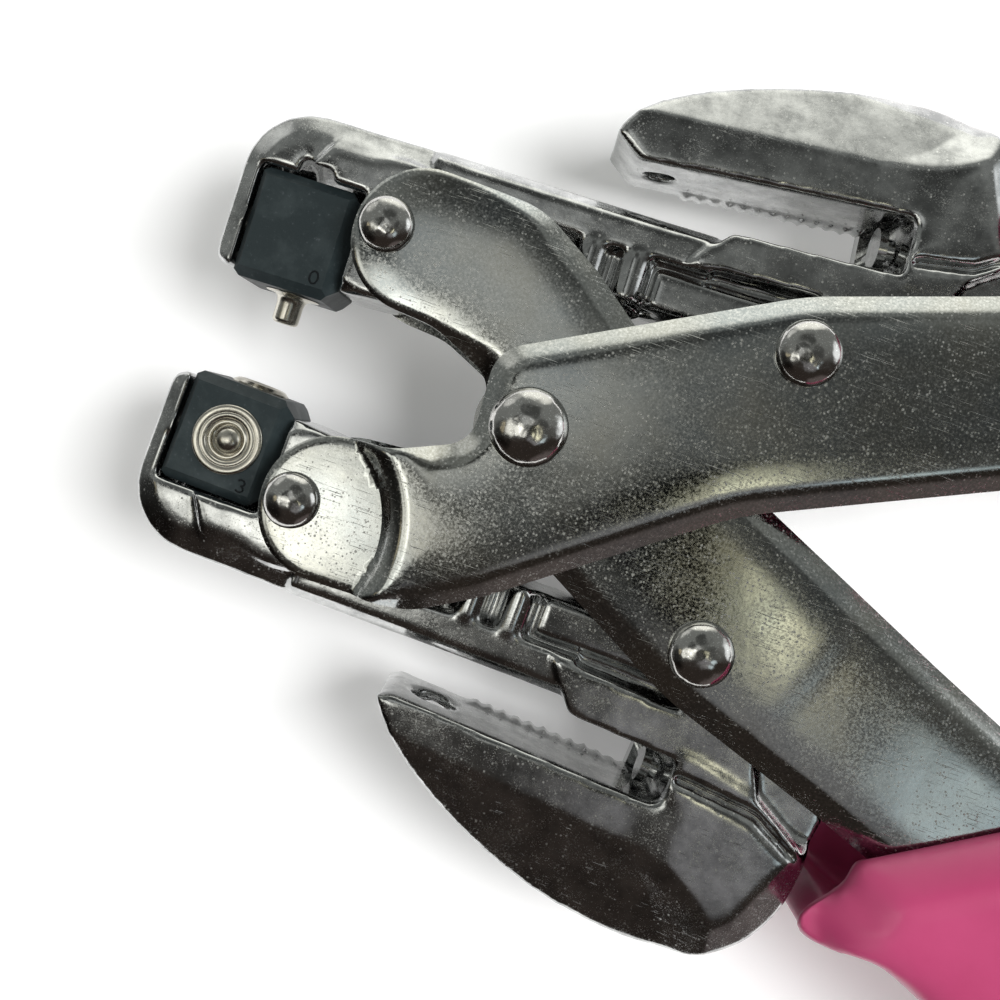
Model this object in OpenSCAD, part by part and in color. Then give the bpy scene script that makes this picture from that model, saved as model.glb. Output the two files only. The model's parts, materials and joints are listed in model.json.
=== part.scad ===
// Eyelet setting punch: parallel-action hand pliers with turning dies and two paper punches.
// X runs along the tool, with the dies at -X and the handles at +X. +Y is the upper jaw's side.
// The tool lies on its back: Z = 0 is the surface under the main rivet, on the pivot's axis.

/* [Linkage] */
// Main pivot to each jaw pivot
front_arm = 24.3; // [23.5:0.1:25.5]
// Angle of the front arms off the tool's axis, tool open
front_angle = 36; // [35:0.5:37]
// Main pivot to each tail pin
rear_arm = 27.9; // [27:0.1:29]
// Angle of the rear arms off the tool's axis, tool open
rear_angle = 33.75; // [33:0.25:34.5]
// Turn of one lever on the other as the tool closes
fold = 25; // [16:1:25]

/* [Levers] */
// Thickness of the lever sheet
sheet_t = 1.6; // [1.2:0.1:1.8]
// Half the space between the inner lever's two plates
inner_half = 6.6; // [6.5:0.1:7.2]
// Running gap between the crossing plates
plate_gap = 0.2; // [0.1:0.05:0.3]
// Angle of each handle off the tool's axis, tool open
handle_angle = 22.5; // [22:0.5:24]
// Main pivot to the end of the steel, along the handle
steel_end = 150; // [110:1:165]
// Half width of the steel at its end
steel_end_half = 7; // [5:0.5:8]
// Radius of the round front end of a lever
tab_r = 7.1; // [6.5:0.1:7.5]
// Distance of the round end's centre behind the jaw pivot
tab_back = 3.9; // [3:0.1:4.5]
// Radius of the step between the outer lever's tab and body
step_r = 11.2; // [10.5:0.1:11.6]
// Width of that step
step_w = 1.4; // [1:0.1:1.8]

/* [Rivets] */
// Diameter of the main rivet's shank
main_d = 6; // [5:0.1:6.6]
// Diameter of the main rivet's heads
main_head_d = 7.8; // [7.4:0.1:8.4]
// Height of the main rivet's heads
main_head_h = 2.4; // [2.2:0.1:2.8]
// Diameter of the jaw rivets' shanks
jaw_pin_d = 4; // [3.4:0.1:4.2]
// Diameter of the jaw rivets' heads
jaw_head_d = 5.6; // [5.2:0.1:6]
// Height of the jaw rivets' heads
jaw_head_h = 1.8; // [1.4:0.1:2.1]
// Diameter of the tail rivets' shanks
tail_pin_d = 5; // [4.4:0.1:5.4]
// Diameter of the tail rivets' heads
tail_head_d = 6.6; // [6.2:0.1:7]
// Height of the tail rivets' heads
tail_head_h = 2; // [1.6:0.1:2.2]
// Running clearance of a pin in its bore, on the radius
run_c = 0.05; // [0.02:0.01:0.08]
// Clearance of a seated piece, on the radius
seat_c = 0.02; // [0.01:0.01:0.05]
// Clearance of a tail pin in its slot, on the radius
slot_c = 0.12; // [0.08:0.01:0.2]

/* [Jaws] */
// Half thickness of the recessed web
web_half = 4.5; // [4.2:0.1:4.8]
// Half thickness of the nose
nose_half = 5.8; // [5.6:0.1:6]
// Half thickness of the raised nose panel, plate and pivot bosses
plate_half = 6.3; // [6.1:0.1:6.4]
// Half thickness of the rail
rail_half = 6; // [5.6:0.1:6.2]
// Half thickness of the fin
fin_half = 6; // [5.5:0.1:6.3]
// Half thickness of the fin's root
root_half = 6.4; // [6.2:0.1:7]
// Width of the sloping shoulder round the fin's root
shoulder_w = 5; // [3:0.5:6]
// Radius of the boss round the jaw pivot
boss_r = 7; // [6.6:0.1:7.2]
// Front of the nose, ahead of the jaw pivot
nose_front = 16.3; // [15.7:0.1:17]
// Outer edge of the nose
nose_out = 9.2; // [9:0.1:9.8]
// Thickness of the bar at the nose's front
nose_bar = 2; // [1.4:0.1:2.2]
// Radius of the nose's outer front corner
nose_r = 7; // [5:0.5:9]
// Inner edge of the rail
rail_in = 5.1; // [4.6:0.1:5.4]
// Outer edge of the rail on its faces
rail_out = 8.3; // [8.2:0.1:9]
// Crown of the rail
rail_crown = 9.8; // [9.4:0.1:10]
// Inner edge of the web beside the cam
web_in = 0.3; // [0:0.1:0.8]
// Width of each half-round rib on the web
rib_w = 3.5; // [3:0.1:4]
// Start of the bevel's ridge on the fin, outward of the jaw pivot
ridge_y = 18.8; // [18.4:0.1:19.6]
// Slope of that ridge along the fin
ridge_tilt = 4.5; // [3:0.5:6]
// Slope of the fin's outer bevel
bevel_angle = 22; // [18:1:24]
// Pitch of the depth rack
rack_pitch = 1.6; // [1.2:0.1:2]
// Height of the depth rack's teeth
rack_h = 0.6; // [0.4:0.1:0.6]
// Width of the groove round the fin's root
groove_w = 0.9; // [0.6:0.1:1.2]

/* [Dies] */
// Width of a square die block
block_w = 11.4; // [10.8:0.1:11.6]
// Length of a die block along the jaw
block_l = 10.6; // [10.2:0.1:10.8]
// Chamfer on a die block
block_ch = 1; // [0.6:0.1:1.4]
// Distance of a die block's axle inward of the jaw pivot
axle_in = 3.1; // [2.9:0.05:3.4]
// Diameter of a die block's axle
axle_d = 3; // [2.6:0.1:3.1]
// Thickness of the spring washer ahead of a die block
washer_t = 0.3; // [0.2:0.05:0.4]
// Gap behind a die block
block_gap = 0.2; // [0.15:0.05:0.3]
// Diameter of the setting pin
pin_d = 2.8; // [2.4:0.1:3.2]
// Length of the setting pin from the block's face
pin_l = 3.2; // [2.4:0.1:3.4]
// Diameter of the ring die
ring_d = 7.1; // [6.4:0.1:7.6]

/* [Punches] */
// Punch diameters, upper then lower
punch_d = [3.2, 4.8]; // [3:0.1:5]
// Distance of each punch behind its jaw pivot, upper then lower
punch_x = [24.5, 20]; // [19.5:0.1:25]
// Travel of a punch as the tool closes
stroke = 6.2; // [4:0.1:6.4]
// Diameter of a punch's foot
foot_d = 6.2; // [6:0.1:6.4]
// Wire of the return springs
spring_wire = 0.5; // [0.4:0.05:0.6]
// Curls of a return spring
spring_curls = 5; // [4:1:6]

/* [Fins] */
// Tip of each fin, upper then lower
fin_tip_x = [18.8, 14.3]; // [13.5:0.1:19.5]
// Blind end of each throat, upper then lower
throat_end = [50.4, 44.8]; // [44:0.1:51]
// Width of each throat at its blind end, upper then lower
throat_w = [6, 5]; // [4.9:0.1:6.2]
// Crest of each fin, outward of the jaw pivot, upper then lower
crest_y = [29.5, 31.2]; // [29:0.1:32]
// Depth of the die hole, from the fin's edge to its waste chute
die_hole_l = 1.2; // [1:0.1:2]
// Diameters of the depth stops' discs, upper then lower
stop_d = [4.5, 3.7]; // [3:0.1:4.6]

/* [Grips] */
// End of the grips, from the main pivot along the handle
grip_end = 182; // [170:1:195]
// Front corner of the grips along the handle, on their outer side
grip_front = 52; // [51:0.5:54]
// Slant of the grips' front edge along the handle
grip_slant = 16; // [8:0.5:18]
// Front of the rolled lip along the handle
lip_front = 50.8; // [50.4:0.1:54]
// Length of the rolled lip
lip_l = 6; // [5:0.5:12]
// Height of the rolled lip over the outer side
lip_h = 2.2; // [1:0.1:3]
// Outer side of the grips, off the handle's middle
grip_out = 17.8; // [16:0.1:19]
// Inner side of the grips, off the handle's middle
grip_in = 11; // [10.5:0.1:11.4]
// Corner radius of a grip's section
grip_r = 7; // [4:0.5:9]

/* [Hidden] */
$fn = 48;
UP = 0;
LOW = 1;
FRONT = 1;
REAR = -1;
eps = 0.01;
far = 50;

// Levels, from the mid-plane out
outer_half = inner_half + sheet_t + plate_gap;
outer_top = outer_half + sheet_t;
inner_top = inner_half + sheet_t;
mid_z = outer_top + main_head_h;

// Pivots of the upper jaw with the tool open, and their mirror images for the lower jaw
jaw_pivot = front_arm * [-cos(front_angle), sin(front_angle)];
tail_pin = rear_arm * [cos(rear_angle), sin(rear_angle)];
jaw_turn = atan2(tail_pin.y - jaw_pivot.y, tail_pin.x - jaw_pivot.x);
tail_x = norm(tail_pin - jaw_pivot);

// The same with the tool closed
half_fold = fold / 2;
jaw_pivot_shut = front_arm * [-cos(front_angle - half_fold), sin(front_angle - half_fold)];
tail_pin_shut = rear_arm * [cos(rear_angle - half_fold), sin(rear_angle - half_fold)];
tail_gap_shut = tail_pin_shut - jaw_pivot_shut;
jaw_turn_shut = atan2(tail_gap_shut.y, tail_gap_shut.x);
tail_x_shut = norm(tail_gap_shut);

// Turn of a jaw on its lever for each degree of fold, and its sign in the upper jaw
jaw_ratio = (half_fold + jaw_turn - jaw_turn_shut) / fold;

// Die blocks, in the jaw's frame
block_front = -nose_front + nose_bar + washer_t + 0.1;
block_rear = block_front + block_l;
block_mid = (block_front + block_rear) / 2;
pocket_front = block_front - washer_t - 0.1;
pocket_rear = block_rear + block_gap;
face_in = axle_in + block_w / 2;
sweep_r = block_w / 2 * sqrt(2) - block_ch / sqrt(2) + 0.25;
pin_sweep_r = block_w / 2 + pin_l + 0.3;
axle_front = -nose_front + 0.1;
axle_rear = -jaw_pin_d / 2 + 0.3;
insert_seat = 2.2;
pin_base_h = 0.45;
setter_h = 0.5;
anvil_h = 0.6;
anvil_d = 6;
ring_proud = 0.25;

// Punches, in the jaw's frame: the foot rides on the cam, the tip lies in the rail's crown
tip_y = rail_crown - 0.3;
foot_r = foot_d / 2;
foot_mid_y = -5.4;
foot_top_y = foot_mid_y + 0.8;
spring_seat_y = 5.6;
pocket_r = foot_r + 0.3;
cam_c = 0.06;
cam_half = 3.3;
hub_r = main_d / 2 + 1.8;

// Lower-left corner of the fin's throat edge, and the edge's end, for each jaw
function edge_start(k) = [fin_tip_x[k] + [3, 1.3][k], [14.2, 14.9][k]];
function edge_end(k) = [throat_end[k], [16.9, 16.2][k]];
function edge_angle(k) = let (d = edge_end(k) - edge_start(k)) atan2(d.y, d.x);
function fin_tip(k) = [fin_tip_x[k], [16.3, 15.6][k]];
function crest(k) = [[49, 47][k], crest_y[k]];
fin_rear = [[61.6, 18.5], [60.8, 19.2]];
knee = [[57.2, 12.7], [54.2, 12.7]];
tail_end = [[63, 12.2], [61.2, 12]];
tail_room = 53.2;
plate_front = [29.5, 5.6];
plate_tilt = 3.4;
sweep_x = [41.5, 38];
panel_x = 27;
panel_out = 4.2;
panel_half = web_half + 0.7;
slot_l = 7;
slot_h = 0.7;

function unit(v) = v / norm(v);
function turned(p, a) = [p.x * cos(a) - p.y * sin(a), p.x * sin(a) + p.y * cos(a)];
function flipped(p) = [p.x, -p.y];

// Points of a cubic curve
function curve(p, n = 12) = [for (i = [0:n]) let (t = i / n, s = 1 - t)
    s * s * s * p[0] + 3 * s * s * t * p[1] + 3 * s * t * t * p[2] + t * t * t * p[3]];

// Points of a closed outline whose corners [x, y, radius] are rounded
function rounded(v, n = 5) = [for (i = [0:len(v) - 1])
    let (
        b = [v[i].x, v[i].y],
        a = v[(i + len(v) - 1) % len(v)],
        c = v[(i + 1) % len(v)],
        r = v[i].z,
        u = unit([a.x, a.y] - b),
        w = unit([c.x, c.y] - b),
        half = acos(max(-1, min(1, u * w))) / 2,
        mid = b + unit(u + w) * r / sin(half),
        from = b + u * r / tan(half) - mid,
        to = b + w * r / tan(half) - mid,
        a0 = atan2(from.y, from.x),
        turn = ((atan2(to.y, to.x) - a0 + 540) % 360) - 180)
    each r == 0 ? [b] : [for (j = [0:n]) mid + r * [cos(a0 + turn * j / n), sin(a0 + turn * j / n)]]];

// Places a child of the upper jaw's frame, or its mirror image for the lower jaw
module at_jaw(k) {
    mirror([0, k == LOW ? 1 : 0, 0])
        translate([jaw_pivot.x, jaw_pivot.y, mid_z])
            rotate(jaw_turn)
                children();
}

module slab(points, half) {
    linear_extrude(2 * half, center = true) polygon(points);
}

module layer(points, low, high) {
    translate([0, 0, low]) linear_extrude(high - low) polygon(points);
}

// A bar along X from a section in Y and Z
// A cutter along Z that goes right through
module bore(p, r) {
    translate(p) cylinder(r = r, h = 2 * far, center = true);
}

module bar_x(section, x0, x1) {
    translate([x0, 0, 0]) rotate([90, 0, 90]) linear_extrude(x1 - x0) polygon(section);
}

module rod_x(d, x0, x1) {
    translate([x0, 0, 0]) rotate([0, 90, 0]) cylinder(d = d, h = x1 - x0);
}

module rod_y(d, y0, y1) {
    translate([0, y0, 0]) rotate([-90, 0, 0]) cylinder(d = d, h = y1 - y0);
}

module ring(r_in, r_out, z0, z1) {
    translate([0, 0, z0]) difference() {
        cylinder(r = r_out, h = z1 - z0);
        translate([0, 0, -1]) cylinder(r = r_in, h = z1 - z0 + 2);
    }
}

// Levers

// Outline of the lever whose front end is below the axis and whose handle is above it
function lever_outline() =
    let (
        front = [jaw_pivot.x + tab_back, -jaw_pivot.y],
        h = function(s, t) turned([s, t], handle_angle))
    rounded([
        [front.x - tab_r, front.y + tab_r, tab_r - 0.01],
        [front.x - tab_r, front.y - tab_r, tab_r - 0.01],
        [-5.5, -21, 9],
        [1.5, -16.9, 12],
        each [for (p = [h(20, -9.9)]) [p.x, p.y, 30]],
        each [for (p = [h(46, -9)]) [p.x, p.y, 40]],
        each [for (p = [h(steel_end, -steel_end_half)]) [p.x, p.y, 3]],
        each [for (p = [h(steel_end, steel_end_half)]) [p.x, p.y, 3]],
        each [for (p = [h(46, 10)]) [p.x, p.y, 40]],
        each [for (p = [h(28, 11.1)]) [p.x, p.y, 30]],
        [-5.4, 6.2, 4],
        [-4.8, -3.2, 3.5],
        [-12, -6.4, 8]]);

module step_zone(r) {
    bore(flipped(jaw_pivot) - [1.7, 2.2], r);
}

module outer_plate() {
    outline = lever_outline();
    difference() {
        union() {
            difference() {
                layer(outline, outer_half, outer_top);
                step_zone(step_r);
            }
            intersection() {
                layer(outline, inner_half, inner_top);
                step_zone(step_r + step_w);
            }
            intersection() {
                layer(outline, inner_half, outer_top);
                difference() {
                    step_zone(step_r + step_w);
                    step_zone(step_r);
                }
            }
        }
        bore([0, 0], main_d / 2 + seat_c);
        bore(flipped(jaw_pivot), jaw_pin_d / 2 + seat_c);
        bore(tail_pin, tail_pin_d / 2 + seat_c);
    }
}

module inner_plate() {
    difference() {
        mirror([0, 1, 0]) layer(lever_outline(), inner_half, inner_top);
        bore([0, 0], main_d / 2 + run_c);
        bore(jaw_pivot, jaw_pin_d / 2 + seat_c);
        bore(flipped(tail_pin), tail_pin_d / 2 + seat_c);
    }
}

module on_side(side) {
    translate([0, 0, mid_z]) mirror([0, 0, side == REAR ? 1 : 0]) children();
}

module lever_a_front_plate() { color("#c9c6bd") on_side(FRONT) outer_plate(); }
module lever_a_rear_plate() { color("#c9c6bd") on_side(REAR) outer_plate(); }
module lever_b_front_plate() { color("#c9c6bd") on_side(FRONT) inner_plate(); }
module lever_b_rear_plate() { color("#c9c6bd") on_side(REAR) inner_plate(); }

// Grips

// The outer side sags behind the lip and swells in the palm. The inner side does the same.
function grip_outline() =
    let (palm = (lip_front + grip_end) / 2, lip_end = lip_front + lip_l)
    rounded([
        [grip_front, grip_out - 7.2, 0.6],
        [lip_front + 2, grip_out - 4.8, 1],
        [lip_front, grip_out + lip_h, 1.8],
        [lip_end - 2, grip_out + lip_h - 0.4, 2],
        [lip_end + 2, grip_out - 1.4, 4],
        [palm - 28, grip_out - 0.4, 30],
        [palm + 7, grip_out + 1, 60],
        [palm + 42, grip_out - 1.5, 40],
        [grip_end, grip_out - 5, 9],
        [grip_end, -grip_in + 2, 9],
        [palm + 32, -grip_in - 1.4, 40],
        [palm - 3, -grip_in + 0.6, 60],
        [palm - 36, -grip_in, 20],
        [grip_front + grip_slant, -grip_in + 0.4, 2]]);

function steel_outline(c) = [
    [40, -9.4 - c], [46, -9 - c], [steel_end + c, -steel_end_half - c],
    [steel_end + c, steel_end_half + c], [46, 10 + c], [40, 10.4 + c]];

module grip(plate_top) {
    lip = grip_out + lip_h;
    low = -grip_in - 1.5;
    section = rounded([
        [lip, mid_z, grip_r], [low, mid_z, grip_r], [low, -mid_z, grip_r], [lip, -mid_z, grip_r]]);
    rotate(handle_angle) translate([0, 0, mid_z]) difference() {
        intersection() {
            slab(grip_outline(), mid_z);
            bar_x(section, 0, grip_end + 1);
        }
        slab(steel_outline(0.1), plate_top + seat_c);
        // Room for the jaw's tail
        slab([[40, 9], [lip_front + 12.4, 9], [lip_front + 12.4, grip_out - 2.6], [tail_room, grip_out - 2.6],
            [tail_room, lip + 1], [40, lip + 1]], root_half + 0.5);
    }
}

module grip_a() { color("#d8427f") grip(outer_top); }
module grip_b() { color("#d8427f") mirror([0, 1, 0]) grip(inner_top); }

// Rivets

function dome(r, h) =
    let (
        ball = (r * r + h * h) / (2 * h),
        low = h - ball,
        a0 = asin(-low / ball))
    [for (i = [0:10]) let (a = a0 + (90 - a0) * i / 10) [ball * cos(a), low + ball * sin(a)]];

module head(d, h, z) {
    translate([0, 0, z]) rotate_extrude()
        polygon([[0, 0], each dome(d / 2, h), [0, h]]);
}

module rivet(d, head_d, head_h, z) {
    translate([0, 0, mid_z]) {
        translate([0, 0, -z]) cylinder(d = d, h = 2 * z);
        head(head_d, head_h, z);
        mirror([0, 0, 1]) head(head_d, head_h, z);
    }
}

module main_rivet() {
    color("#d8d8d6") difference() {
        rivet(main_d, main_head_d, main_head_h + 0.5, outer_top);
        translate([-10, -10, -10]) cube([20, 20, 10]);
        translate([-10, -10, 2 * mid_z]) cube([20, 20, 10]);
    }
}

module upper_jaw_rivet() {
    color("#d8d8d6") translate(jaw_pivot) rivet(jaw_pin_d, jaw_head_d, jaw_head_h, inner_top);
}

module lower_jaw_rivet() {
    color("#d8d8d6") translate(flipped(jaw_pivot)) rivet(jaw_pin_d, jaw_head_d, jaw_head_h, inner_top);
}

module upper_tail_rivet() {
    color("#d8d8d6") translate(tail_pin) rivet(tail_pin_d, tail_head_d, tail_head_h, outer_top);
}

module lower_tail_rivet() {
    color("#d8d8d6") translate(flipped(tail_pin)) rivet(tail_pin_d, tail_head_d, tail_head_h, inner_top);
}

module tail_spacer() {
    translate(tail_pin)
        ring(tail_pin_d / 2 + seat_c, tail_pin_d / 2 + 2, plate_half + plate_gap, outer_half - seat_c);
}

module front_tail_spacer() { color("#a9aaa9") on_side(FRONT) tail_spacer(); }
module rear_tail_spacer() { color("#a9aaa9") on_side(REAR) tail_spacer(); }

// Cams that drive the punches. Each lobe follows its punch's foot, seen from the lever that the
// punch's jaw isn't hinged on: the upper cam turns with the outer lever, the lower with the inner.

function foot_path(k, f) =
    let (
        local = [punch_x[k], foot_mid_y + stroke * f / fold],
        seen = turned(jaw_pivot + turned(local, jaw_turn - jaw_ratio * f), f))
    k == UP ? seen : flipped(seen);

function cam_point(k, f) =
    let (
        step = fold / 50,
        along = unit(foot_path(k, f + step) - foot_path(k, f - step)),
        side = [along.y, -along.x],
        out = side * foot_path(k, f) > 0 ? side : -side)
    foot_path(k, f) - (foot_r + cam_c) * out;

module cam_lobe(k, half) {
    steps = 10;
    foot_side = k == UP ? 0.5 : -0.5;
    slab([[hub_r - 0.5, foot_side], for (i = [0:steps]) cam_point(k, fold * i / steps),
        [0.5 - hub_r, foot_side]], half);
}

module upper_punch_cam() {
    color("#8f9091") translate([0, 0, mid_z]) difference() {
        union() {
            cylinder(r = hub_r, h = 2 * cam_half, center = true);
            cam_lobe(UP, cam_half);
        }
        cylinder(r = main_d / 2 + seat_c, h = 40, center = true);
    }
}

// Two cheeks beside the upper cam, joined by the lobe
module lower_punch_cam() {
    color("#8f9091") translate([0, 0, mid_z]) difference() {
        union() {
            cylinder(r = hub_r + 0.7, h = 2 * (inner_half - 0.1), center = true);
            cam_lobe(LOW, inner_half - 0.1);
        }
        cylinder(r = main_d / 2 + run_c, h = 40, center = true);
        cylinder(r = hub_r + 0.2, h = 2 * (cam_half + 0.1), center = true);
        translate([-20, -2, -cam_half - 0.1]) cube([40, 40, 2 * (cam_half + 0.1)]);
    }
}

// Jaws

function nose_outline() = rounded([
    [-nose_front, -axle_in - 5.1, 1.2],
    [3, -axle_in - 4, 2],
    [4.5, nose_out - 0.8, 0.8],
    [2.4, nose_out, 1],
    [-nose_front, nose_out, nose_r]]);

function web_outline(k) = [
    [-2, -5.5], [7, -5.5], [11.5, web_in], [34.5, web_in], [38.5, -5.4], [tail_x_shut + 5, -5.4],
    [58, 2], tail_end[k], tail_end[k] + [-0.5, 4], knee[k], [33, 9], [30, 6.5], [2, 6.5]];

function plate_outline(k) = rounded([
    [plate_front.x, plate_front.y, 0.5],
    [33, edge_end(k).y - throat_w[k] - (throat_end[k] - 33) * tan(plate_tilt), 1.2],
    [throat_end[k] + 1.2, edge_end(k).y - throat_w[k], 0.2],
    [knee[k].x, knee[k].y, 0.3],
    [knee[k].x - 1.6, knee[k].y - 3.4, 1],
    [tail_x_shut + 3.5, plate_front.y + 1.2, 0.5]]);

function fin_outline(k) = let (t = fin_tip(k), c = crest(k), e = fin_rear[k]) [
    each curve([t, t + [[1.2, 6], [2.6, 5]][k], c - [[13, 1.3], [16, 0.4]][k], c]),
    each curve([c, c + [6.5, 0], e + [0, 7], e]),
    tail_end[k] + [-0.4, 4.2],
    knee[k] - [0.8, 1],
    [throat_end[k] + 2, edge_end(k).y - throat_w[k] - 1],
    [throat_end[k], edge_end(k).y - throat_w[k] - 1],
    edge_end(k) - [0, 0.8],
    edge_end(k) - [0.8, 0.05],
    edge_start(k)];

// Height of the bevel's ridge at a place along the fin
function ridge_at(x) = ridge_y + (x - 18) * tan(ridge_tilt);

// Rear end of the ridge, where it sweeps out to the crest
function sweep(k, in) = let (x = sweep_x[k]) curve([
    [x - in, ridge_at(x - in)], [x + 5.5, ridge_at(x + 5)], [x + 10.5, ridge_at(x + 5) + 2.6], [x + 14, crest_y[k] + 4]]);

// Plan of the outer bevel
function bevel_plan(k) = [
    [0, ridge_at(0)],
    each sweep(k, 0),
    [0, crest_y[k] + 4]];

module bevel_cut(k) {
    intersection() {
        layer(bevel_plan(k), -30, 30);
        translate([0, ridge_at(0), fin_half]) rotate(ridge_tilt) rotate([-bevel_angle, 0, 0]) cube([80, 40, 30]);
    }
}

// Slopes the outer and rear sides of the fin's root, each side by its direction and its distance from the root
module shoulder_cut(k) {
    drop = root_half - 1.6;
    slope = atan2(drop, shoulder_w);
    heel = [50, 16];
    for (side = [[90, crest_y[k] - heel.y], [52, 14.8], [24, 13.2]])
        translate([heel.x, heel.y, root_half]) rotate(side.x) translate([side.y - shoulder_w, 0, 0])
            rotate([0, slope, 0]) translate([0, -far, 0]) cube([far, 2 * far, far]);
}

module fin(k) {
    difference() {
        union() {
            difference() {
                slab(fin_outline(k), fin_half);
                for (side = [0, 1])
                    mirror([0, 0, side]) bevel_cut(k);
            }
            // The root is thicker than the blade
            difference() {
                slab(fin_outline(k), root_half);
                layer([
                    [0, 0], [throat_end[k] - 2.6, 0], [throat_end[k] - 2.6, ridge_at(44) - 2],
                    each sweep(k, -3), [0, crest_y[k] + 4]], -30, 30);
            }
        }
        for (side = [0, 1])
            mirror([0, 0, side]) shoulder_cut(k);
    }
}

module rack(k) {
    // The teeth start behind the die hole
    start = punch_x[k] + punch_d[k] / 2 + 1.2 - edge_start(k).x;
    run = norm(edge_end(k) - edge_start(k)) - start - 1.5;
    teeth = floor(run / rack_pitch);
    translate(edge_start(k)) rotate(edge_angle(k)) translate([start, 0, -fin_half])
        linear_extrude(2.4)
            polygon([[0, 0.4], for (i = [0:teeth - 1]) each
                [[i * rack_pitch, 0], [(i + 0.5) * rack_pitch, -rack_h]],
                [teeth * rack_pitch, 0], [teeth * rack_pitch, 0.4]]);
}

module groove(k) {
    a = [throat_end[k] + 0.4, edge_end(k).y - throat_w[k] + 1.1];
    b = knee[k] + [0, 0.4];
    c = tail_end[k] + [0.4, 5];
    layer([a, b, c, c + [0, groove_w], b + [-0.2, groove_w], a + [0, groove_w]], plate_half - 0.9, 30);
}

// Rounds the nose's outer edge by planes round its corner, each by its slope and its start from the edge
module nose_cut() {
    for (side = [90:22.5:180])
        for (plane = [[24, 2.4], [58, 1.2]])
            translate([nose_r - nose_front, nose_out - nose_r, nose_half]) rotate(side)
                translate([nose_r - plane[1], 0, 0]) rotate([0, plane[0], 0])
                    translate([-1, -far, 0]) cube([far, 2 * far, far]);
}

module nose() {
    difference() {
        union() {
            slab(nose_outline(), nose_half);
            slab([[-9.6, 3], [-6.6, 8.6], [2, 8.6], [3, 3]], plate_half);
        }
        for (side = [0, 1])
            mirror([0, 0, side]) nose_cut();
    }
}

module jaw_solid(k) {
    nose();
    cylinder(r = boss_r, h = 2 * plate_half, center = true);
    slab(web_outline(k), web_half);
    bar_x([[rail_in, -rail_half], [rail_out, -rail_half], [rail_crown - 0.4, -rail_half + 1.8],
        [rail_crown, -2], [rail_crown, 2], [rail_crown - 0.4, rail_half - 1.8],
        [rail_out, rail_half], [rail_in, rail_half]], 2.4, 32);
    for (x = punch_x)
        for (side = [-1, 1])
            translate([x, 0, side * web_half]) rod_y(rib_w, web_in, rail_in + eps);
    slab(plate_outline(k), plate_half);
    // Flat panel behind the ribs
    slab([[panel_x, web_in], [tail_x + 1, web_in], [tail_x + 1, panel_out], [panel_x, panel_out]], panel_half);
    slab(rounded([
        [tail_x - 4.6, -5.2, 4], [tail_x_shut + 5.2, -5.2, 5],
        [tail_x_shut + 5.2, 7.2, 1], [tail_x + 1, 7.2, 1]]), plate_half);
    fin(k);
    rack(k);
}

module jaw(k) {
    difference() {
        jaw_solid(k);
        // Die pocket, with room for the turning block and pin
        translate([pocket_front, -40, -30])
            cube([pocket_rear - pocket_front, 40 - axle_in + block_w / 2 + 0.2, 60]);
        translate([0, -axle_in, 0]) {
            rod_x(2 * sweep_r, pocket_front, pocket_rear);
            if (k == UP)
                rod_x(2 * pin_sweep_r, block_mid - pin_d / 2 - 0.35, block_mid + pin_d / 2 + 0.35);
            rod_x(axle_d + 2 * seat_c, axle_front - 1, axle_rear + 0.1);
        }
        cylinder(r = jaw_pin_d / 2 + run_c, h = 60, center = true);
        // Tail slot
        for (x = [tail_x, tail_x_shut])
            translate([x, 0, 0]) cylinder(r = tail_pin_d / 2 + slot_c, h = 60, center = true);
        translate([tail_x, -tail_pin_d / 2 - slot_c, -30])
            cube([tail_x_shut - tail_x, tail_pin_d + 2 * slot_c, 60]);
        // Punch barrel, spring pocket and die hole with its waste chute
        translate([punch_x[k], 0, 0]) {
            chute_d = punch_d[k] + 0.6;
            chute_y = edge_end(k).y + (punch_x[k] - throat_end[k]) * tan(edge_angle(k)) + die_hole_l + chute_d / 2;
            rod_y(punch_d[k] + 2 * run_c, 0, chute_y);
            rod_y(2 * pocket_r, -10, spring_seat_y);
            translate([0, chute_y, -30]) cylinder(d = chute_d, h = 30);
            // Shallow slot round the punch's tip
            translate([-slot_l + 1.8, rail_crown - slot_h, -punch_d[k] / 2 - 0.5]) cube([slot_l, 2, punch_d[k] + 1]);
        }
        groove(k);
        mirror([0, 0, 1]) groove(k);
    }
}

module upper_jaw() { color("#8d8f8c") at_jaw(UP) jaw(UP); }
module lower_jaw() { color("#8d8f8c") at_jaw(LOW) jaw(LOW); }

// Dies

function chamfered(w, h, c, d) = [
    [-w / 2 + c, -h / 2], [w / 2 - d, -h / 2], [w / 2, -h / 2 + d], [w / 2, h / 2 - d],
    [w / 2 - d, h / 2], [-w / 2 + c, h / 2], [-w / 2, h / 2 - c], [-w / 2, -h / 2 + c]];

module at_die(k) {
    at_jaw(k) translate([block_mid, -axle_in, 0]) children();
}

// Turns a child that stands on the XY plane out of the block: 0 working face, 1 near, 2 far
module on_face(i) {
    rotate([[90, 0, 0], [0, 0, 0], [180, 0, 0]][i]) translate([0, 0, block_w / 2]) children();
}

module block_blank() {
    intersection() {
        bar_x(chamfered(block_w, block_w, block_ch, block_ch), -block_l / 2, block_l / 2);
        slab(chamfered(block_l, block_w, block_ch / 2, block_ch * 1.4), 30);
        rotate([90, 0, 0]) slab(chamfered(block_l, block_w, block_ch / 2, block_ch * 1.4), 30);
    }

}

module die_block(seats) {
    difference() {
        block_blank();
        rod_x(axle_d + 2 * run_c, -20, 20);
        for (s = seats)
            on_face(s[0]) translate([0, 0, -insert_seat]) cylinder(r = s[1] / 2 + seat_c, h = 10);
    }
}

setter_seat_d = 3.2;
upper_seats = [[0, setter_seat_d], [2, setter_seat_d]];
lower_seats = [[0, anvil_d], [1, ring_d]];

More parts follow.
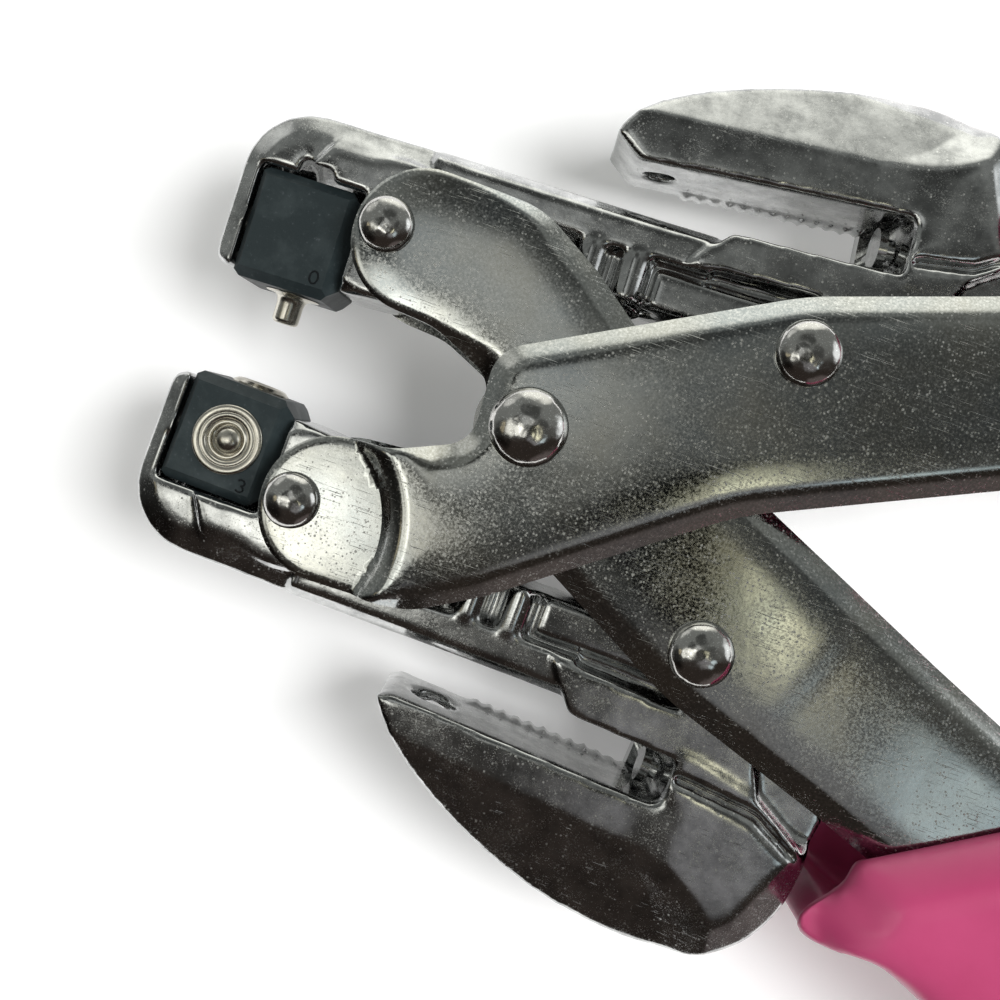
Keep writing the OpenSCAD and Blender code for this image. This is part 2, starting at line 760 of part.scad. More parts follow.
module upper_die_block() { color("#23282b") at_die(UP) die_block(upper_seats); }
module lower_die_block() { color("#23282b") at_die(LOW) die_block(lower_seats); }

module turned_piece(profile) {
    rotate_extrude() polygon(profile);
}

module setting_pin() {
    base = anvil_d / 2 - 0.1;
    turned_piece([[0, -insert_seat], [setter_seat_d / 2, -insert_seat], [setter_seat_d / 2, 0], [base, 0],
        [base, 0.12], [pin_d / 2 + 0.5, 0.25], [pin_d / 2, pin_base_h + 0.3], [pin_d / 2, pin_l - 0.5],
        [pin_d / 2 - 0.15, pin_l - 0.15], [pin_d / 2 - 0.5, pin_l], [0, pin_l]]);
}

module flat_setter() {
    turned_piece([[0, -insert_seat], [setter_seat_d / 2, -insert_seat], [setter_seat_d / 2, 0],
        [anvil_d / 2 - 0.2, 0], [anvil_d / 2 - 0.2, setter_h - 0.2], [anvil_d / 2 - 0.4, setter_h],
        [1.4, setter_h], [1, setter_h - 0.2], [0, setter_h - 0.2]]);
}

module peg_anvil() {
    hole_r = pin_d / 2 + 0.4;
    turned_piece([[0, -insert_seat], [anvil_d / 2, -insert_seat], [anvil_d / 2, 0.2], [anvil_d / 2 - 0.4, anvil_h - 0.1],
        [hole_r + 0.5, anvil_h], [hole_r + 0.1, anvil_h - 0.2], [hole_r, anvil_h - 0.4], [hole_r, 0.25 - insert_seat],
        [0, 0.25 - insert_seat]]);
}

module ring_die() {
    r = ring_d / 2;
    turned_piece([[0, -insert_seat], [r, -insert_seat], [r, ring_proud - 0.15], [r - 0.15, ring_proud],
        [r - 1.1, ring_proud], [r - 1.3, ring_proud - 0.3], [r - 1.55, ring_proud - 0.3], [r - 1.7, ring_proud - 0.05],
        [r - 1.95, ring_proud - 0.05], [r - 2.1, -0.9], [1.25, -0.9], [1.2, -0.2], [0.95, 0.05], [0.5, 0.22], [0, 0.28]]);
}

module upper_setting_pin() { color("#cfccc2") at_die(UP) on_face(0) setting_pin(); }
module upper_flat_setter() { color("#cfccc2") at_die(UP) on_face(2) flat_setter(); }
module lower_peg_anvil() { color("#cfccc2") at_die(LOW) on_face(0) peg_anvil(); }
module lower_ring_die() { color("#cfccc2") at_die(LOW) on_face(1) ring_die(); }

module die_axle() {
    translate([0, -axle_in, 0]) rod_x(axle_d, axle_front, axle_rear);
}

module die_washer() {
    translate([block_front - washer_t - 0.05, -axle_in, 0]) rotate([0, 90, 0])
        ring(axle_d / 2 + 0.1, axle_d / 2 + 2, 0, washer_t);
}

module upper_die_axle() { color("#b5b5b2") at_jaw(UP) die_axle(); }
module lower_die_axle() { color("#b5b5b2") at_jaw(LOW) die_axle(); }
module upper_die_washer() { color("#b5b5b2") at_jaw(UP) die_washer(); }
module lower_die_washer() { color("#b5b5b2") at_jaw(LOW) die_washer(); }

// Punches and their return springs

module punch(k) {
    translate([punch_x[k], 0, 0]) {
        rod_y(punch_d[k], foot_mid_y, tip_y);
        translate([0, foot_mid_y, 0]) sphere(r = foot_r);
        rod_y(foot_d, foot_mid_y, foot_top_y);
    }
}

module punch_body(k) {
    // The foot is a half ball under a short collar
    difference() {
        punch(k);
        translate([punch_x[k], 0, 0]) difference() {
            rod_y(foot_d + 2, foot_top_y, foot_mid_y + foot_r + 1);
            rod_y(punch_d[k], foot_top_y - 1, tip_y + 1);
        }
    }
}

module upper_punch() { color("#b9b9b4") at_jaw(UP) punch_body(UP); }
module lower_punch() { color("#b9b9b4") at_jaw(LOW) punch_body(LOW); }

spring_sides = 6;
spring_rings = 8;

// Middle radius of the wire, so that its straight lengths between rings clear the punch
function spring_r(k) = (punch_d[k] / 2 + 0.1 + spring_wire / 2) / cos(180 / spring_rings);
function spring_low() = foot_top_y + spring_wire / 2 + 0.05;
function spring_high() = spring_seat_y - spring_wire / 2 - 0.05;

function coil_point(k, i) =
    let (n = spring_curls * spring_rings, a = 360 * i / spring_rings)
    [spring_r(k) * cos(a), spring_r(k) * sin(a), spring_low() + (spring_high() - spring_low()) * i / n];

// Rings of a tube round the coil's middle line
module coil(k) {
    n = spring_curls * spring_rings;
    points = [for (i = [0:n]) let (a = 360 * i / spring_rings, c = coil_point(k, i))
        for (j = [0:spring_sides - 1]) let (b = 360 * j / spring_sides)
            c + spring_wire / 2 * [cos(b) * cos(a), cos(b) * sin(a), sin(b)]];
    sides = [for (i = [0:n - 1]) for (j = [0:spring_sides - 1])
        let (a = i * spring_sides + j, b = i * spring_sides + (j + 1) % spring_sides)
            each [[a, b, b + spring_sides], [a, b + spring_sides, a + spring_sides]]];
    last = n * spring_sides;
    caps = [for (j = [1:spring_sides - 2]) each [[0, j + 1, j], [last, last + j, last + j + 1]]];
    polyhedron(points, concat(sides, caps));
}

module punch_spring(k) {
    translate([punch_x[k], 0, 0]) rotate([-90, 0, 0]) coil(k);
}

module upper_punch_spring() { color("#c4c4c0") at_jaw(UP) punch_spring(UP); }
module lower_punch_spring() { color("#c4c4c0") at_jaw(LOW) punch_spring(LOW); }

// Least distance between the wire's turns, measured on points of its middle line a turn or so apart
function coil_gap(k) =
    let (n = spring_curls * spring_rings)
    min([for (i = [0:n]) for (j = [i + spring_rings / 2:n])
        norm(coil_point(k, i) - coil_point(k, j))]) - spring_wire;
echo(least_spring_gap = min(coil_gap(UP), coil_gap(LOW)));

// Depth stops: a disc that faces the throat's mouth, on a stem from a thumb tab behind the jaw
gauge_c = 0.35;
disc_t = 0.9;
hub_l = 1;

module depth_stop(k) {
    w = stop_d[k];
    front = -2.4;
    stem_d = 1.4;
    translate(edge_end(k)) rotate(edge_angle(k)) translate([front, -gauge_c - w / 2, 0]) {
        rod_x(w, 0, disc_t);
        rod_x(w * 0.6, disc_t - eps, disc_t + hub_l);
        translate([disc_t + 0.2, 0, -root_half - 0.4]) cylinder(d = stem_d, h = root_half + 0.4);
        translate([0, 0, -root_half - 2.2])
            linear_extrude(2)
                polygon(rounded([[0, -2.6, 1.4], [7, -2.6, 1.4], [7, 4.4, 1.4], [0, 4.4, 1.4]]));
    }
}

module upper_depth_stop() { color("#c2c2bb") at_jaw(UP) depth_stop(UP); }
module lower_depth_stop() { color("#c2c2bb") at_jaw(LOW) depth_stop(LOW); }

lever_a_front_plate();
lever_a_rear_plate();
lever_b_front_plate();
lever_b_rear_plate();
grip_a();
grip_b();
main_rivet();
upper_jaw_rivet();
lower_jaw_rivet();
upper_tail_rivet();
lower_tail_rivet();
front_tail_spacer();
rear_tail_spacer();
upper_punch_cam();
lower_punch_cam();
upper_jaw();
lower_jaw();
upper_die_block();
lower_die_block();
upper_setting_pin();
upper_flat_setter();
lower_peg_anvil();
lower_ring_die();
upper_die_axle();
lower_die_axle();
upper_die_washer();
lower_die_washer();
upper_punch();
lower_punch();
upper_punch_spring();
lower_punch_spring();
upper_depth_stop();
lower_depth_stop();
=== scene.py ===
"""Looks of the eyelet setting punch: pressed plated levers, chromed castings, black dies, pink grips."""
import json
import math

import bmesh
import bpy
import numpy as np
from mathutils import Matrix, Vector, geometry


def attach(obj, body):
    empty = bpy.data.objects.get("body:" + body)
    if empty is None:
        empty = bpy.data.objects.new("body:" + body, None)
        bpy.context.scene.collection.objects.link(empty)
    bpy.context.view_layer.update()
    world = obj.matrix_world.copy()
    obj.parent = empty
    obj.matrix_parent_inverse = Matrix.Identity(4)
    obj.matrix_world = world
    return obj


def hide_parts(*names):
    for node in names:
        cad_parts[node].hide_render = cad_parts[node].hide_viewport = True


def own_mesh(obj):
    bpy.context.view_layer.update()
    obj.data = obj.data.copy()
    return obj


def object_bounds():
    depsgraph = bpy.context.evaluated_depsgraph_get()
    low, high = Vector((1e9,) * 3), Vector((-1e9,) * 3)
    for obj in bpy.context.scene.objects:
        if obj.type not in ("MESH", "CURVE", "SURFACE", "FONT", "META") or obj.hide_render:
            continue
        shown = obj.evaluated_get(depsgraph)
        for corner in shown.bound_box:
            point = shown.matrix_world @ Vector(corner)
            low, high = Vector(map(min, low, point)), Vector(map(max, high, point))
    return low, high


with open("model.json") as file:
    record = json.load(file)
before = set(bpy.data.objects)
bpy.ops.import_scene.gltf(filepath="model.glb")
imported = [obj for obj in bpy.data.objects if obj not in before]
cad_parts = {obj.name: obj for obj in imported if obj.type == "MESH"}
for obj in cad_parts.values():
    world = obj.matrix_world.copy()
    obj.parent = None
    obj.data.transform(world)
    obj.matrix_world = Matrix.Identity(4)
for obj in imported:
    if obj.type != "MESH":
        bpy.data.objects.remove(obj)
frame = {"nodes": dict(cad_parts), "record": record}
cad_low, cad_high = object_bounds()
nodes = frame["nodes"]
joints = {j["name"]: j for j in frame["record"]["behaviour"]["joints"]}
scene = bpy.context.scene
MM = 0.001

# The part's own sizes, in millimetres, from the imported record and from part.scad
MID_Z = joints["fold"]["pos_m"][2] / MM
JAW_PIVOT = Vector([v / MM for v in joints["upper_jaw_pivot"]["pos_m"][:2]])
JAW_TURN = math.atan2(joints["upper_die_turn"]["axis"][1], joints["upper_die_turn"]["axis"][0])
TAIL_PIN = Vector((23.198, 15.5))
HANDLE_ANGLE = math.radians(22.5)
SHEET_T = 1.6
INNER_HALF = 6.6
OUTER_HALF = 8.4
STEEL_END = 150.0
STEEL_END_HALF = 7.0
TAB_R = 7.1
TAB_BACK = 3.9
MAIN_D = 6.0
JAW_PIN_D = 4.0
TAIL_PIN_D = 5.0
BLOCK_W = 11.4
BLOCK_MID = -8.6
AXLE_IN = 3.1
PUNCH_X = {"upper": 24.5, "lower": 20.0}
PUNCH_D = {"upper": 3.2, "lower": 4.8}
THROAT_END = {"upper": 50.4, "lower": 44.8}
SPRING_LOW = -4.6
SPRING_HIGH = 5.6
SPRING_WIRE = 0.5
SPRING_CURLS = 5
SIDES = ("upper", "lower")


def new_object(name, mesh, body, replaced, slot, material=None):
    """Links a mesh as a piece that rides on a body, in its slot's material or in one of its own."""
    obj = bpy.data.objects.new(name, mesh)
    scene.collection.objects.link(obj)
    mesh.materials.clear()
    mesh.materials.append(material or SLOT_MATERIAL[slot])
    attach(obj, body)
    if replaced:
        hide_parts(replaced)
    return obj


def jaw_point(side, x, y, z=0.0):
    """A point of a jaw's own frame, in millimetres, as a point of the part in metres."""
    turned = Matrix.Rotation(JAW_TURN, 2) @ Vector((x, y))
    flip = 1 if side == "upper" else -1
    return Vector(((JAW_PIVOT.x + turned.x) * MM, flip * (JAW_PIVOT.y + turned.y) * MM, (MID_Z + z) * MM))


def jaw_frame(side):
    """Matrix from a jaw's own frame, in millimetres, to the part's frame in metres."""
    origin = jaw_point(side, 0, 0)
    cols = [(jaw_point(side, *axis) - origin) for axis in ((1, 0, 0), (0, 1, 0), (0, 0, 1))]
    m = Matrix((cols[0], cols[1], cols[2])).transposed().to_4x4()
    m.translation = origin
    return m


# Materials

def mixed(tree, factor, a, b, blend="MIX"):
    """Colour of a mix. Its factor and both its colours are sockets or plain values."""
    node = tree.nodes.new("ShaderNodeMix")
    node.data_type = "RGBA"
    node.blend_type = blend
    for socket, value in ((node.inputs[0], factor), (node.inputs[6], a), (node.inputs[7], b)):
        if isinstance(value, bpy.types.NodeSocket):
            tree.links.new(value, socket)
        else:
            socket.default_value = value
    return node.outputs[2]


class Shader:
    """A Principled material and short calls for the nodes that feed it."""

    def __init__(self, name, **values):
        self.material = bpy.data.materials.new(name)
        self.material.use_nodes = True
        self.tree = self.material.node_tree
        self.bsdf = self.tree.nodes["Principled BSDF"]
        self.coord = self.tree.nodes.new("ShaderNodeTexCoord").outputs["Object"]
        for key, value in values.items():
            self.bsdf.inputs[key].default_value = value

    def node(self, kind, inputs=None, **settings):
        n = self.tree.nodes.new(kind)
        for key, value in settings.items():
            setattr(n, key, value)
        for key, value in (inputs or {}).items():
            if isinstance(value, bpy.types.NodeSocket):
                self.tree.links.new(value, n.inputs[key])
            else:
                n.inputs[key].default_value = value
        return n

    def link(self, socket, target):
        self.tree.links.new(socket, self.bsdf.inputs[target])

    def stretched(self, scale, turn=0.0):
        """Object coordinates in features per millimetre along each axis."""
        per_metre = [s / MM for s in scale]
        inputs = {"Vector": self.coord, "Scale": per_metre, "Rotation": (0, 0, turn)}
        return self.node("ShaderNodeMapping", inputs).outputs[0]

    def noise(self, size, detail=3.0, rough=0.55, turn=0.0):
        """Noise of a feature size in millimetres, or one size for each axis."""
        sizes = size if isinstance(size, tuple) else (size, size, size)
        vector = self.stretched([1 / s for s in sizes], turn)
        inputs = {"Vector": vector, "Scale": 1.0, "Detail": detail, "Roughness": rough}
        return self.node("ShaderNodeTexNoise", inputs).outputs["Fac"]

    def dots(self, size, reach, share):
        """Round specks, one in a cell of a size in millimetres, on a share of the cells."""
        vector = self.stretched([1 / size] * 3)
        cells = self.node("ShaderNodeTexVoronoi", {"Vector": vector, "Scale": 1.0}).outputs
        near = self.ramp(cells["Distance"], reach, 0.4 * reach)
        pick = self.node("ShaderNodeSeparateColor", {"Color": cells["Color"]}).outputs[0]
        return self.math("MULTIPLY", near, self.ramp(pick, 1 - share, 1 - 0.2 * share))

    def ramp(self, value, low, high, out_low=0.0, out_high=1.0):
        n = self.node("ShaderNodeMapRange", {
            "Value": value, "From Min": low, "From Max": high, "To Min": out_low, "To Max": out_high})
        return n.outputs[0]

    def math(self, operation, a, b):
        return self.node("ShaderNodeMath", {0: a, 1: b}, operation=operation).outputs[0]

    def mix(self, factor, a, b):
        return mixed(self.tree, factor, a, b)

    def bump(self, height, depth_mm, below=None):
        inputs = {"Height": height, "Distance": depth_mm * MM, "Strength": 1.0}
        if below is not None:
            inputs["Normal"] = below
        return self.node("ShaderNodeBump", inputs).outputs[0]


def scratches(s, turn, length, width, keep):
    """Fine straight scratches along one direction, 0 to 1."""
    lines = s.noise((length, width, length), detail=1.0, rough=0.4, turn=turn)
    patches = s.noise(4.5, detail=2.0)
    return s.math("MULTIPLY", s.ramp(lines, keep, keep + 0.06), s.ramp(patches, 0.42, 0.58))


def nickel_plate():
    """Nickel plated sheet: satin shine, grain, bright pits in loose clusters, clouds and scratches."""
    s = Shader("nickel_plate", Metallic=1.0)
    cloud = s.noise(11.0, detail=3.0, rough=0.55)
    tone = s.mix(s.ramp(cloud, 0.35, 0.65), (0.36, 0.385, 0.39, 1), (0.44, 0.435, 0.395, 1))
    grain = s.ramp(s.noise(0.26, detail=3.0, rough=0.65), 0.42, 0.66)
    cluster = s.ramp(s.noise(3.5, detail=4.0, rough=0.65), 0.36, 0.64, 0.35, 1.0)
    pits = s.math("MULTIPLY", s.math("MAXIMUM", s.dots(0.32, 0.5, 0.55), s.dots(0.6, 0.34, 0.45)), cluster)
    marks = s.math("MAXIMUM", scratches(s, 0.5, 5.0, 0.07, 0.70), scratches(s, 2.2, 3.0, 0.06, 0.71))
    bright = s.math("MAXIMUM", pits, s.math("MULTIPLY", marks, 0.8))
    ground = s.mix(s.math("MULTIPLY", grain, 0.42), tone, (0.90, 0.90, 0.88, 1))
    s.link(s.mix(bright, ground, (0.97, 0.97, 0.94, 1)), "Base Color")
    haze = s.ramp(s.noise(5.0, detail=4.0, rough=0.6), 0.35, 0.68, 0.06, 0.11)
    dull = s.math("MULTIPLY", s.math("MAXIMUM", bright, s.math("MULTIPLY", grain, 0.3)), 0.44)
    s.link(s.math("ADD", haze, dull), "Roughness")
    waves = s.bump(s.noise(9.0, detail=1.0), 0.05)
    peel = s.bump(s.noise(1.1, detail=2.0), 0.005, waves)
    s.link(s.bump(marks, 0.006, peel), "Normal")
    return s.material


def cast_chrome():
    """Chromed die casting: dark mirror with a mottled bloom of fine pits, dimples and rubbed marks."""
    s = Shader("cast_chrome", Metallic=1.0)
    bloom = s.ramp(s.noise(2.6, detail=4.0, rough=0.62), 0.38, 0.70, -0.09, 0.07)
    fine = s.ramp(s.math("ADD", s.noise(0.15, detail=2.0, rough=0.6), bloom), 0.52, 0.74)
    pits = s.math("MAXIMUM", s.math("MULTIPLY", fine, 0.7), s.dots(0.5, 0.32, 0.35))
    veil = s.ramp(s.noise(6.0, detail=4.0, rough=0.6), 0.45, 0.72)
    mottle = s.ramp(s.noise(3.4, detail=6.0, rough=0.72), 0.36, 0.64)
    tone = s.mix(mottle, (0.34, 0.345, 0.345, 1), (0.68, 0.685, 0.68, 1))
    s.link(s.mix(pits, tone, (0.90, 0.90, 0.88, 1)), "Base Color")
    shine = s.ramp(veil, 0.0, 1.0, 0.11, 0.22)
    s.link(s.math("ADD", shine, s.math("MULTIPLY", pits, 0.38)), "Roughness")
    swell = s.bump(s.noise(3.2, detail=1.0), 0.035)
    skin = s.bump(s.noise(0.4, detail=2.0, rough=0.6), 0.004, swell)
    marks = scratches(s, 1.1, 3.0, 0.07, 0.71)
    s.link(s.bump(marks, 0.006, skin), "Normal")
    return s.material


def bright_steel():
    """Polished rivet heads with small dents from setting."""
    s = Shader("bright_steel", Metallic=1.0)
    cloud = s.noise(1.8, detail=3.0)
    fleck = s.ramp(s.noise(0.16, detail=1.0), 0.60, 0.72)
    tone = s.mix(cloud, (0.50, 0.49, 0.47, 1), (0.68, 0.67, 0.65, 1))
    s.link(s.mix(fleck, tone, (0.92, 0.92, 0.90, 1)), "Base Color")
    s.link(s.ramp(s.noise(0.7, detail=3.0), 0.3, 0.7, 0.10, 0.17), "Roughness")
    dents = s.bump(s.noise(1.8, detail=1.5), 0.14)
    s.link(s.bump(s.noise(0.3, detail=2.0), 0.003, dents), "Normal")
    return s.material


def turned_steel(name, low, high):
    """Turned steel: smooth, with a faint tooth and stains."""
    s = Shader(name, Metallic=1.0)
    tooth = s.noise(0.14, detail=2.0)
    stain = s.noise(1.5, detail=3.0)
    s.link(s.mix(stain, low, high), "Base Color")
    s.link(s.ramp(stain, 0.3, 0.7, 0.16, 0.28), "Roughness")
    s.link(s.bump(tooth, 0.002), "Normal")
    return s.material


def black_oxide():
    """Blackened steel: matte blue-black with a fine tooth and rubbed lighter patches."""
    s = Shader("black_oxide", **{"Metallic": 0.0, "Specular IOR Level": 0.42})
    rub = s.ramp(s.noise(3.2, detail=5.0, rough=0.65), 0.45, 0.75)
    fleck = s.ramp(s.noise(0.4, detail=2.0), 0.66, 0.74)
    tone = s.mix(rub, (0.016, 0.023, 0.025, 1), (0.030, 0.040, 0.042, 1))
    s.link(s.mix(s.math("MULTIPLY", fleck, 0.35), tone, (0.09, 0.10, 0.11, 1)), "Base Color")
    s.link(s.ramp(rub, 0.0, 1.0, 0.48, 0.36), "Roughness")
    s.link(s.bump(s.noise(0.22, detail=3.0), 0.012), "Normal")
    return s.material


def number_ink():
    """Dark fill of the stamped numbers."""
    s = Shader("number_ink", **{"Specular IOR Level": 0.25})
    s.link(s.mix(s.noise(0.3), (0.004, 0.005, 0.006, 1), (0.010, 0.012, 0.013, 1)), "Base Color")
    s.link(s.ramp(s.noise(0.2), 0.3, 0.7, 0.5, 0.7), "Roughness")
    return s.material


def pink_grip():
    """Glossy moulded vinyl, a little cloudy, with faint moulding texture."""
    s = Shader("pink_grip", **{"Specular IOR Level": 0.5, "Coat Weight": 0.25, "Coat Roughness": 0.2})
    cloud = s.noise(11.0, detail=4.0)
    s.link(s.mix(s.ramp(cloud, 0.3, 0.7), (0.40, 0.046, 0.130, 1), (0.46, 0.058, 0.158, 1)), "Base Color")
    s.link(s.ramp(s.noise(1.2, detail=4.0), 0.3, 0.7, 0.30, 0.42), "Roughness")
    skin = s.bump(s.noise(0.8, detail=3.0), 0.012)
    s.link(s.bump(s.noise(9.0, detail=1.0), 0.06, skin), "Normal")
    return s.material


SLOT_MATERIAL = {
    "nickel_plate": nickel_plate(),
    "bright_steel": bright_steel(),
    "plain_steel": turned_steel("plain_steel", (0.38, 0.38, 0.37, 1), (0.52, 0.52, 0.51, 1)),
    "cast_chrome": cast_chrome(),
    "black_oxide": black_oxide(),
    "die_steel": turned_steel("die_steel", (0.62, 0.59, 0.52, 1), (0.78, 0.75, 0.67, 1)),
    "spring_wire": turned_steel("spring_wire", (0.45, 0.45, 0.45, 1), (0.6, 0.6, 0.6, 1)),
    "pink_grip": pink_grip(),
}
for part in frame["record"]["subparts"]:
    mesh = nodes[part["node"]].data
    mesh.materials.clear()
    mesh.materials.append(SLOT_MATERIAL[part["material_slot"]])


# Levers: pressed sheet with rolled edges

def rounded(corners, steps=10):
    """Points of a closed outline whose corners (x, y, radius) are rounded."""
    points = []
    count = len(corners)
    for i, (x, y, r) in enumerate(corners):
        b = Vector((x, y))
        a = Vector(corners[i - 1][:2])
        c = Vector(corners[(i + 1) % count][:2])
        u = (a - b).normalized()
        w = (c - b).normalized()
        half = math.acos(max(-1, min(1, u.dot(w)))) / 2
        mid = b + (u + w).normalized() * r / math.sin(half)
        start = b + u * r / math.tan(half) - mid
        end = b + w * r / math.tan(half) - mid
        a0 = math.atan2(start.y, start.x)
        turn = (math.atan2(end.y, end.x) - a0 + 3 * math.pi) % (2 * math.pi) - math.pi
        points += [mid + r * Vector((math.cos(a0 + turn * j / steps), math.sin(a0 + turn * j / steps)))
                   for j in range(steps + 1)]
    return points


def on_handle(s, t, r):
    p = Matrix.Rotation(HANDLE_ANGLE, 2) @ Vector((s, t))
    return (p.x, p.y, r)


def lever_outline():
    """The lever whose front end is below the axis and whose handle is above it."""
    front = Vector((JAW_PIVOT.x + TAB_BACK, -JAW_PIVOT.y))
    r = TAB_R
    return rounded([
        (front.x - r, front.y + r, r - 0.01),
        (front.x - r, front.y - r, r - 0.01),
        (-5.5, -21, 9),
        (1.5, -16.9, 12),
        on_handle(20, -9.9, 30),
        on_handle(46, -9, 40),
        on_handle(STEEL_END, -STEEL_END_HALF, 3),
        on_handle(STEEL_END, STEEL_END_HALF, 3),
        on_handle(46, 10, 40),
        on_handle(28, 11.1, 30),
        (-5.4, 6.2, 4),
        (-4.8, -3.2, 3.5),
        (-12, -6.4, 8)])


def resampled(loop, spacing):
    """Points at an even spacing round a closed loop."""
    pts = np.array([tuple(p) for p in loop])
    ends = np.roll(pts, -1, axis=0)
    lengths = np.hypot(*(ends - pts).T)
    far = np.concatenate(([0], np.cumsum(lengths)))
    count = int(far[-1] / spacing)
    at = np.linspace(0, far[-1], count, endpoint=False)
    closed = np.vstack((pts, pts[:1]))
    return np.column_stack([np.interp(at, far, closed[:, i]) for i in (0, 1)])


def distance_to(loop, points):
    """Distance of each point from a closed loop, positive inside."""
    a = loop
    b = np.roll(loop, -1, axis=0)
    ab = b - a
    best = np.full(len(points), np.inf)
    inside = np.zeros(len(points), bool)
    for (ax, ay), (dx, dy), by in zip(a, ab, b[:, 1]):
        px, py = points[:, 0] - ax, points[:, 1] - ay
        t = np.clip((px * dx + py * dy) / max(dx * dx + dy * dy, 1e-12), 0, 1)
        best = np.minimum(best, np.hypot(px - t * dx, py - t * dy))
        crosses = (ay > points[:, 1]) != (by > points[:, 1])
        if dy != 0:
            inside ^= crosses & (points[:, 0] < ax + dx * (points[:, 1] - ay) / dy)
    return np.where(inside, best, -best)


def smoothstep(x):
    x = np.clip(x, 0, 1)
    return x * x * (3 - 2 * x)


# The rolled edge slopes evenly near the rim and eases to the flat
ROLL_SLOPE = 0.62
ROLL_STEEP = 0.8
ROLL_W = 2.8
CROWN_SLOPE = 0.12
CROWN_W = 6.0
ROLL_NARROW = 0.16
ROLL_TAB = (11.5, 15.0)
ROLL_END = (9.0, 18.0)
EDGE_SPACING = 0.45
INSETS = (0.15, 0.5, 0.9, 1.3, 1.7, 2.1, 2.5, 2.9, 3.3)
GRID_SPACING = 1.0
# Rows of a grid of even triangles lie closer than the points in a row
ROW_SHARE = 0.87
GRID_CLEAR = 0.4
INSET_SLACK = 0.06
HOLE_STEPS = 40
HOLE_CLEAR = 0.1
SHARP_ANGLE = math.radians(40)


def rolled(plan, distance, narrow, crowned):
    """Drop of the sheet's face at points, by their distance from its rim.

    The roll is narrow within the first distance from the jaw pivot, and full beyond the second.
    The crown follows the roll there, or is full where crowned."""
    far = np.hypot(*(plan - np.array((JAW_PIVOT.x, -JAW_PIVOT.y))).T)
    scale = ROLL_NARROW + (1 - ROLL_NARROW) * smoothstep((far - narrow[0]) / (narrow[1] - narrow[0]))
    inside = distance / scale
    ease = ROLL_W - ROLL_STEEP
    t = np.clip((inside - ROLL_STEEP) / ease, 0, 1)
    steep = np.clip(ROLL_STEEP - inside, 0, None)
    spread = 1 if crowned else scale
    crown = np.clip(1 - distance / spread / CROWN_W, 0, 1) ** 2 * CROWN_SLOPE * CROWN_W / 2
    return scale * ROLL_SLOPE * (ease * (0.5 - t + t ** 3 - t ** 4 / 2) + steep) + spread * crown


def plate_mesh(name, outline, holes, underside, lift, guide, narrow, crowned):
    """A sheet with rolled edges. lift gives its height change at points, for steps pressed in it.
    guide holds the points that such a step needs."""
    loop = resampled(outline, EDGE_SPACING)
    ahead = np.roll(loop, -1, axis=0) - np.roll(loop, 1, axis=0)
    normal = np.column_stack((-ahead[:, 1], ahead[:, 0])) / np.hypot(*ahead.T)[:, None]
    if distance_to(loop, loop[:1] + 0.05 * normal[:1])[0] < 0:
        normal = -normal
    points = [loop]
    for inset in INSETS:
        ring = loop + inset * normal
        keep = distance_to(loop, ring) > inset - INSET_SLACK
        points.append(ring[keep])
    low, high = loop.min(axis=0), loop.max(axis=0)
    columns = np.arange(low[0], high[0], GRID_SPACING)
    rows = np.arange(low[1], high[1], GRID_SPACING * ROW_SHARE)
    xs, ys = np.meshgrid(columns, rows)
    xs[1::2] += GRID_SPACING / 2
    grid = np.column_stack((xs.ravel(), ys.ravel()))
    if len(guide):
        near = np.array([np.hypot(*(guide - g).T).min() for g in grid])
        grid = np.vstack((grid[near > GRID_CLEAR], guide))
    grid = grid[distance_to(loop, grid) > INSETS[-1] + GRID_CLEAR]
    for centre, radius in holes:
        grid = grid[np.hypot(*(grid - np.array(centre)).T) > radius + GRID_CLEAR]
    points.append(grid)
    edges = [(i, (i + 1) % len(loop)) for i in range(len(loop))]
    total = sum(len(p) for p in points)
    for centre, radius in holes:
        turn = np.linspace(0, 2 * np.pi, HOLE_STEPS, endpoint=False)
        points.append(np.array(centre) + radius * np.column_stack((np.cos(turn), np.sin(turn))))
        edges += [(total + i, total + (i + 1) % HOLE_STEPS) for i in range(HOLE_STEPS)]
        total += HOLE_STEPS
    flat = np.vstack(points)
    verts, _, faces, *_ = geometry.delaunay_2d_cdt([Vector(p) for p in flat], edges, [], 1, 1e-5)
    plan = np.array([tuple(v) for v in verts])
    kept = []
    for f in faces:
        mid = plan[list(f)].mean(axis=0)
        if all(math.hypot(*(mid - np.array(c))) > r for c, r in holes):
            kept.append(f)
    roll = rolled(plan, np.clip(distance_to(loop, plan), 0, None), narrow, crowned)
    change = lift(plan)
    top = underside + SHEET_T - roll + change
    bottom = underside + change
    count = len(plan)
    coords = np.vstack((np.column_stack((plan, top)), np.column_stack((plan, bottom)))) * MM
    all_faces = [tuple(f) for f in kept] + [tuple(count + i for i in reversed(f)) for f in kept]
    seen = {}
    for f in kept:
        for i in range(3):
            seen[(f[i], f[(i + 1) % 3])] = True
    rim = [(a, b) for a, b in seen if (b, a) not in seen]
    all_faces += [(b, a, count + a, count + b) for a, b in rim]
    mesh = bpy.data.meshes.new(name)
    mesh.from_pydata([tuple(c) for c in coords], [], all_faces)
    mesh.shade_smooth()
    mesh.set_sharp_from_angle(angle=SHARP_ANGLE)
    return mesh


STEP_CENTRE = np.array((JAW_PIVOT.x - 1.7, -JAW_PIVOT.y - 2.2))
STEP_R = 11.2
STEP_W = 2.6
CREASE_S = 36.0
CREASE_W = 2.6
CREASE_DROP = 0.08
CREASE_BEND = 45.0


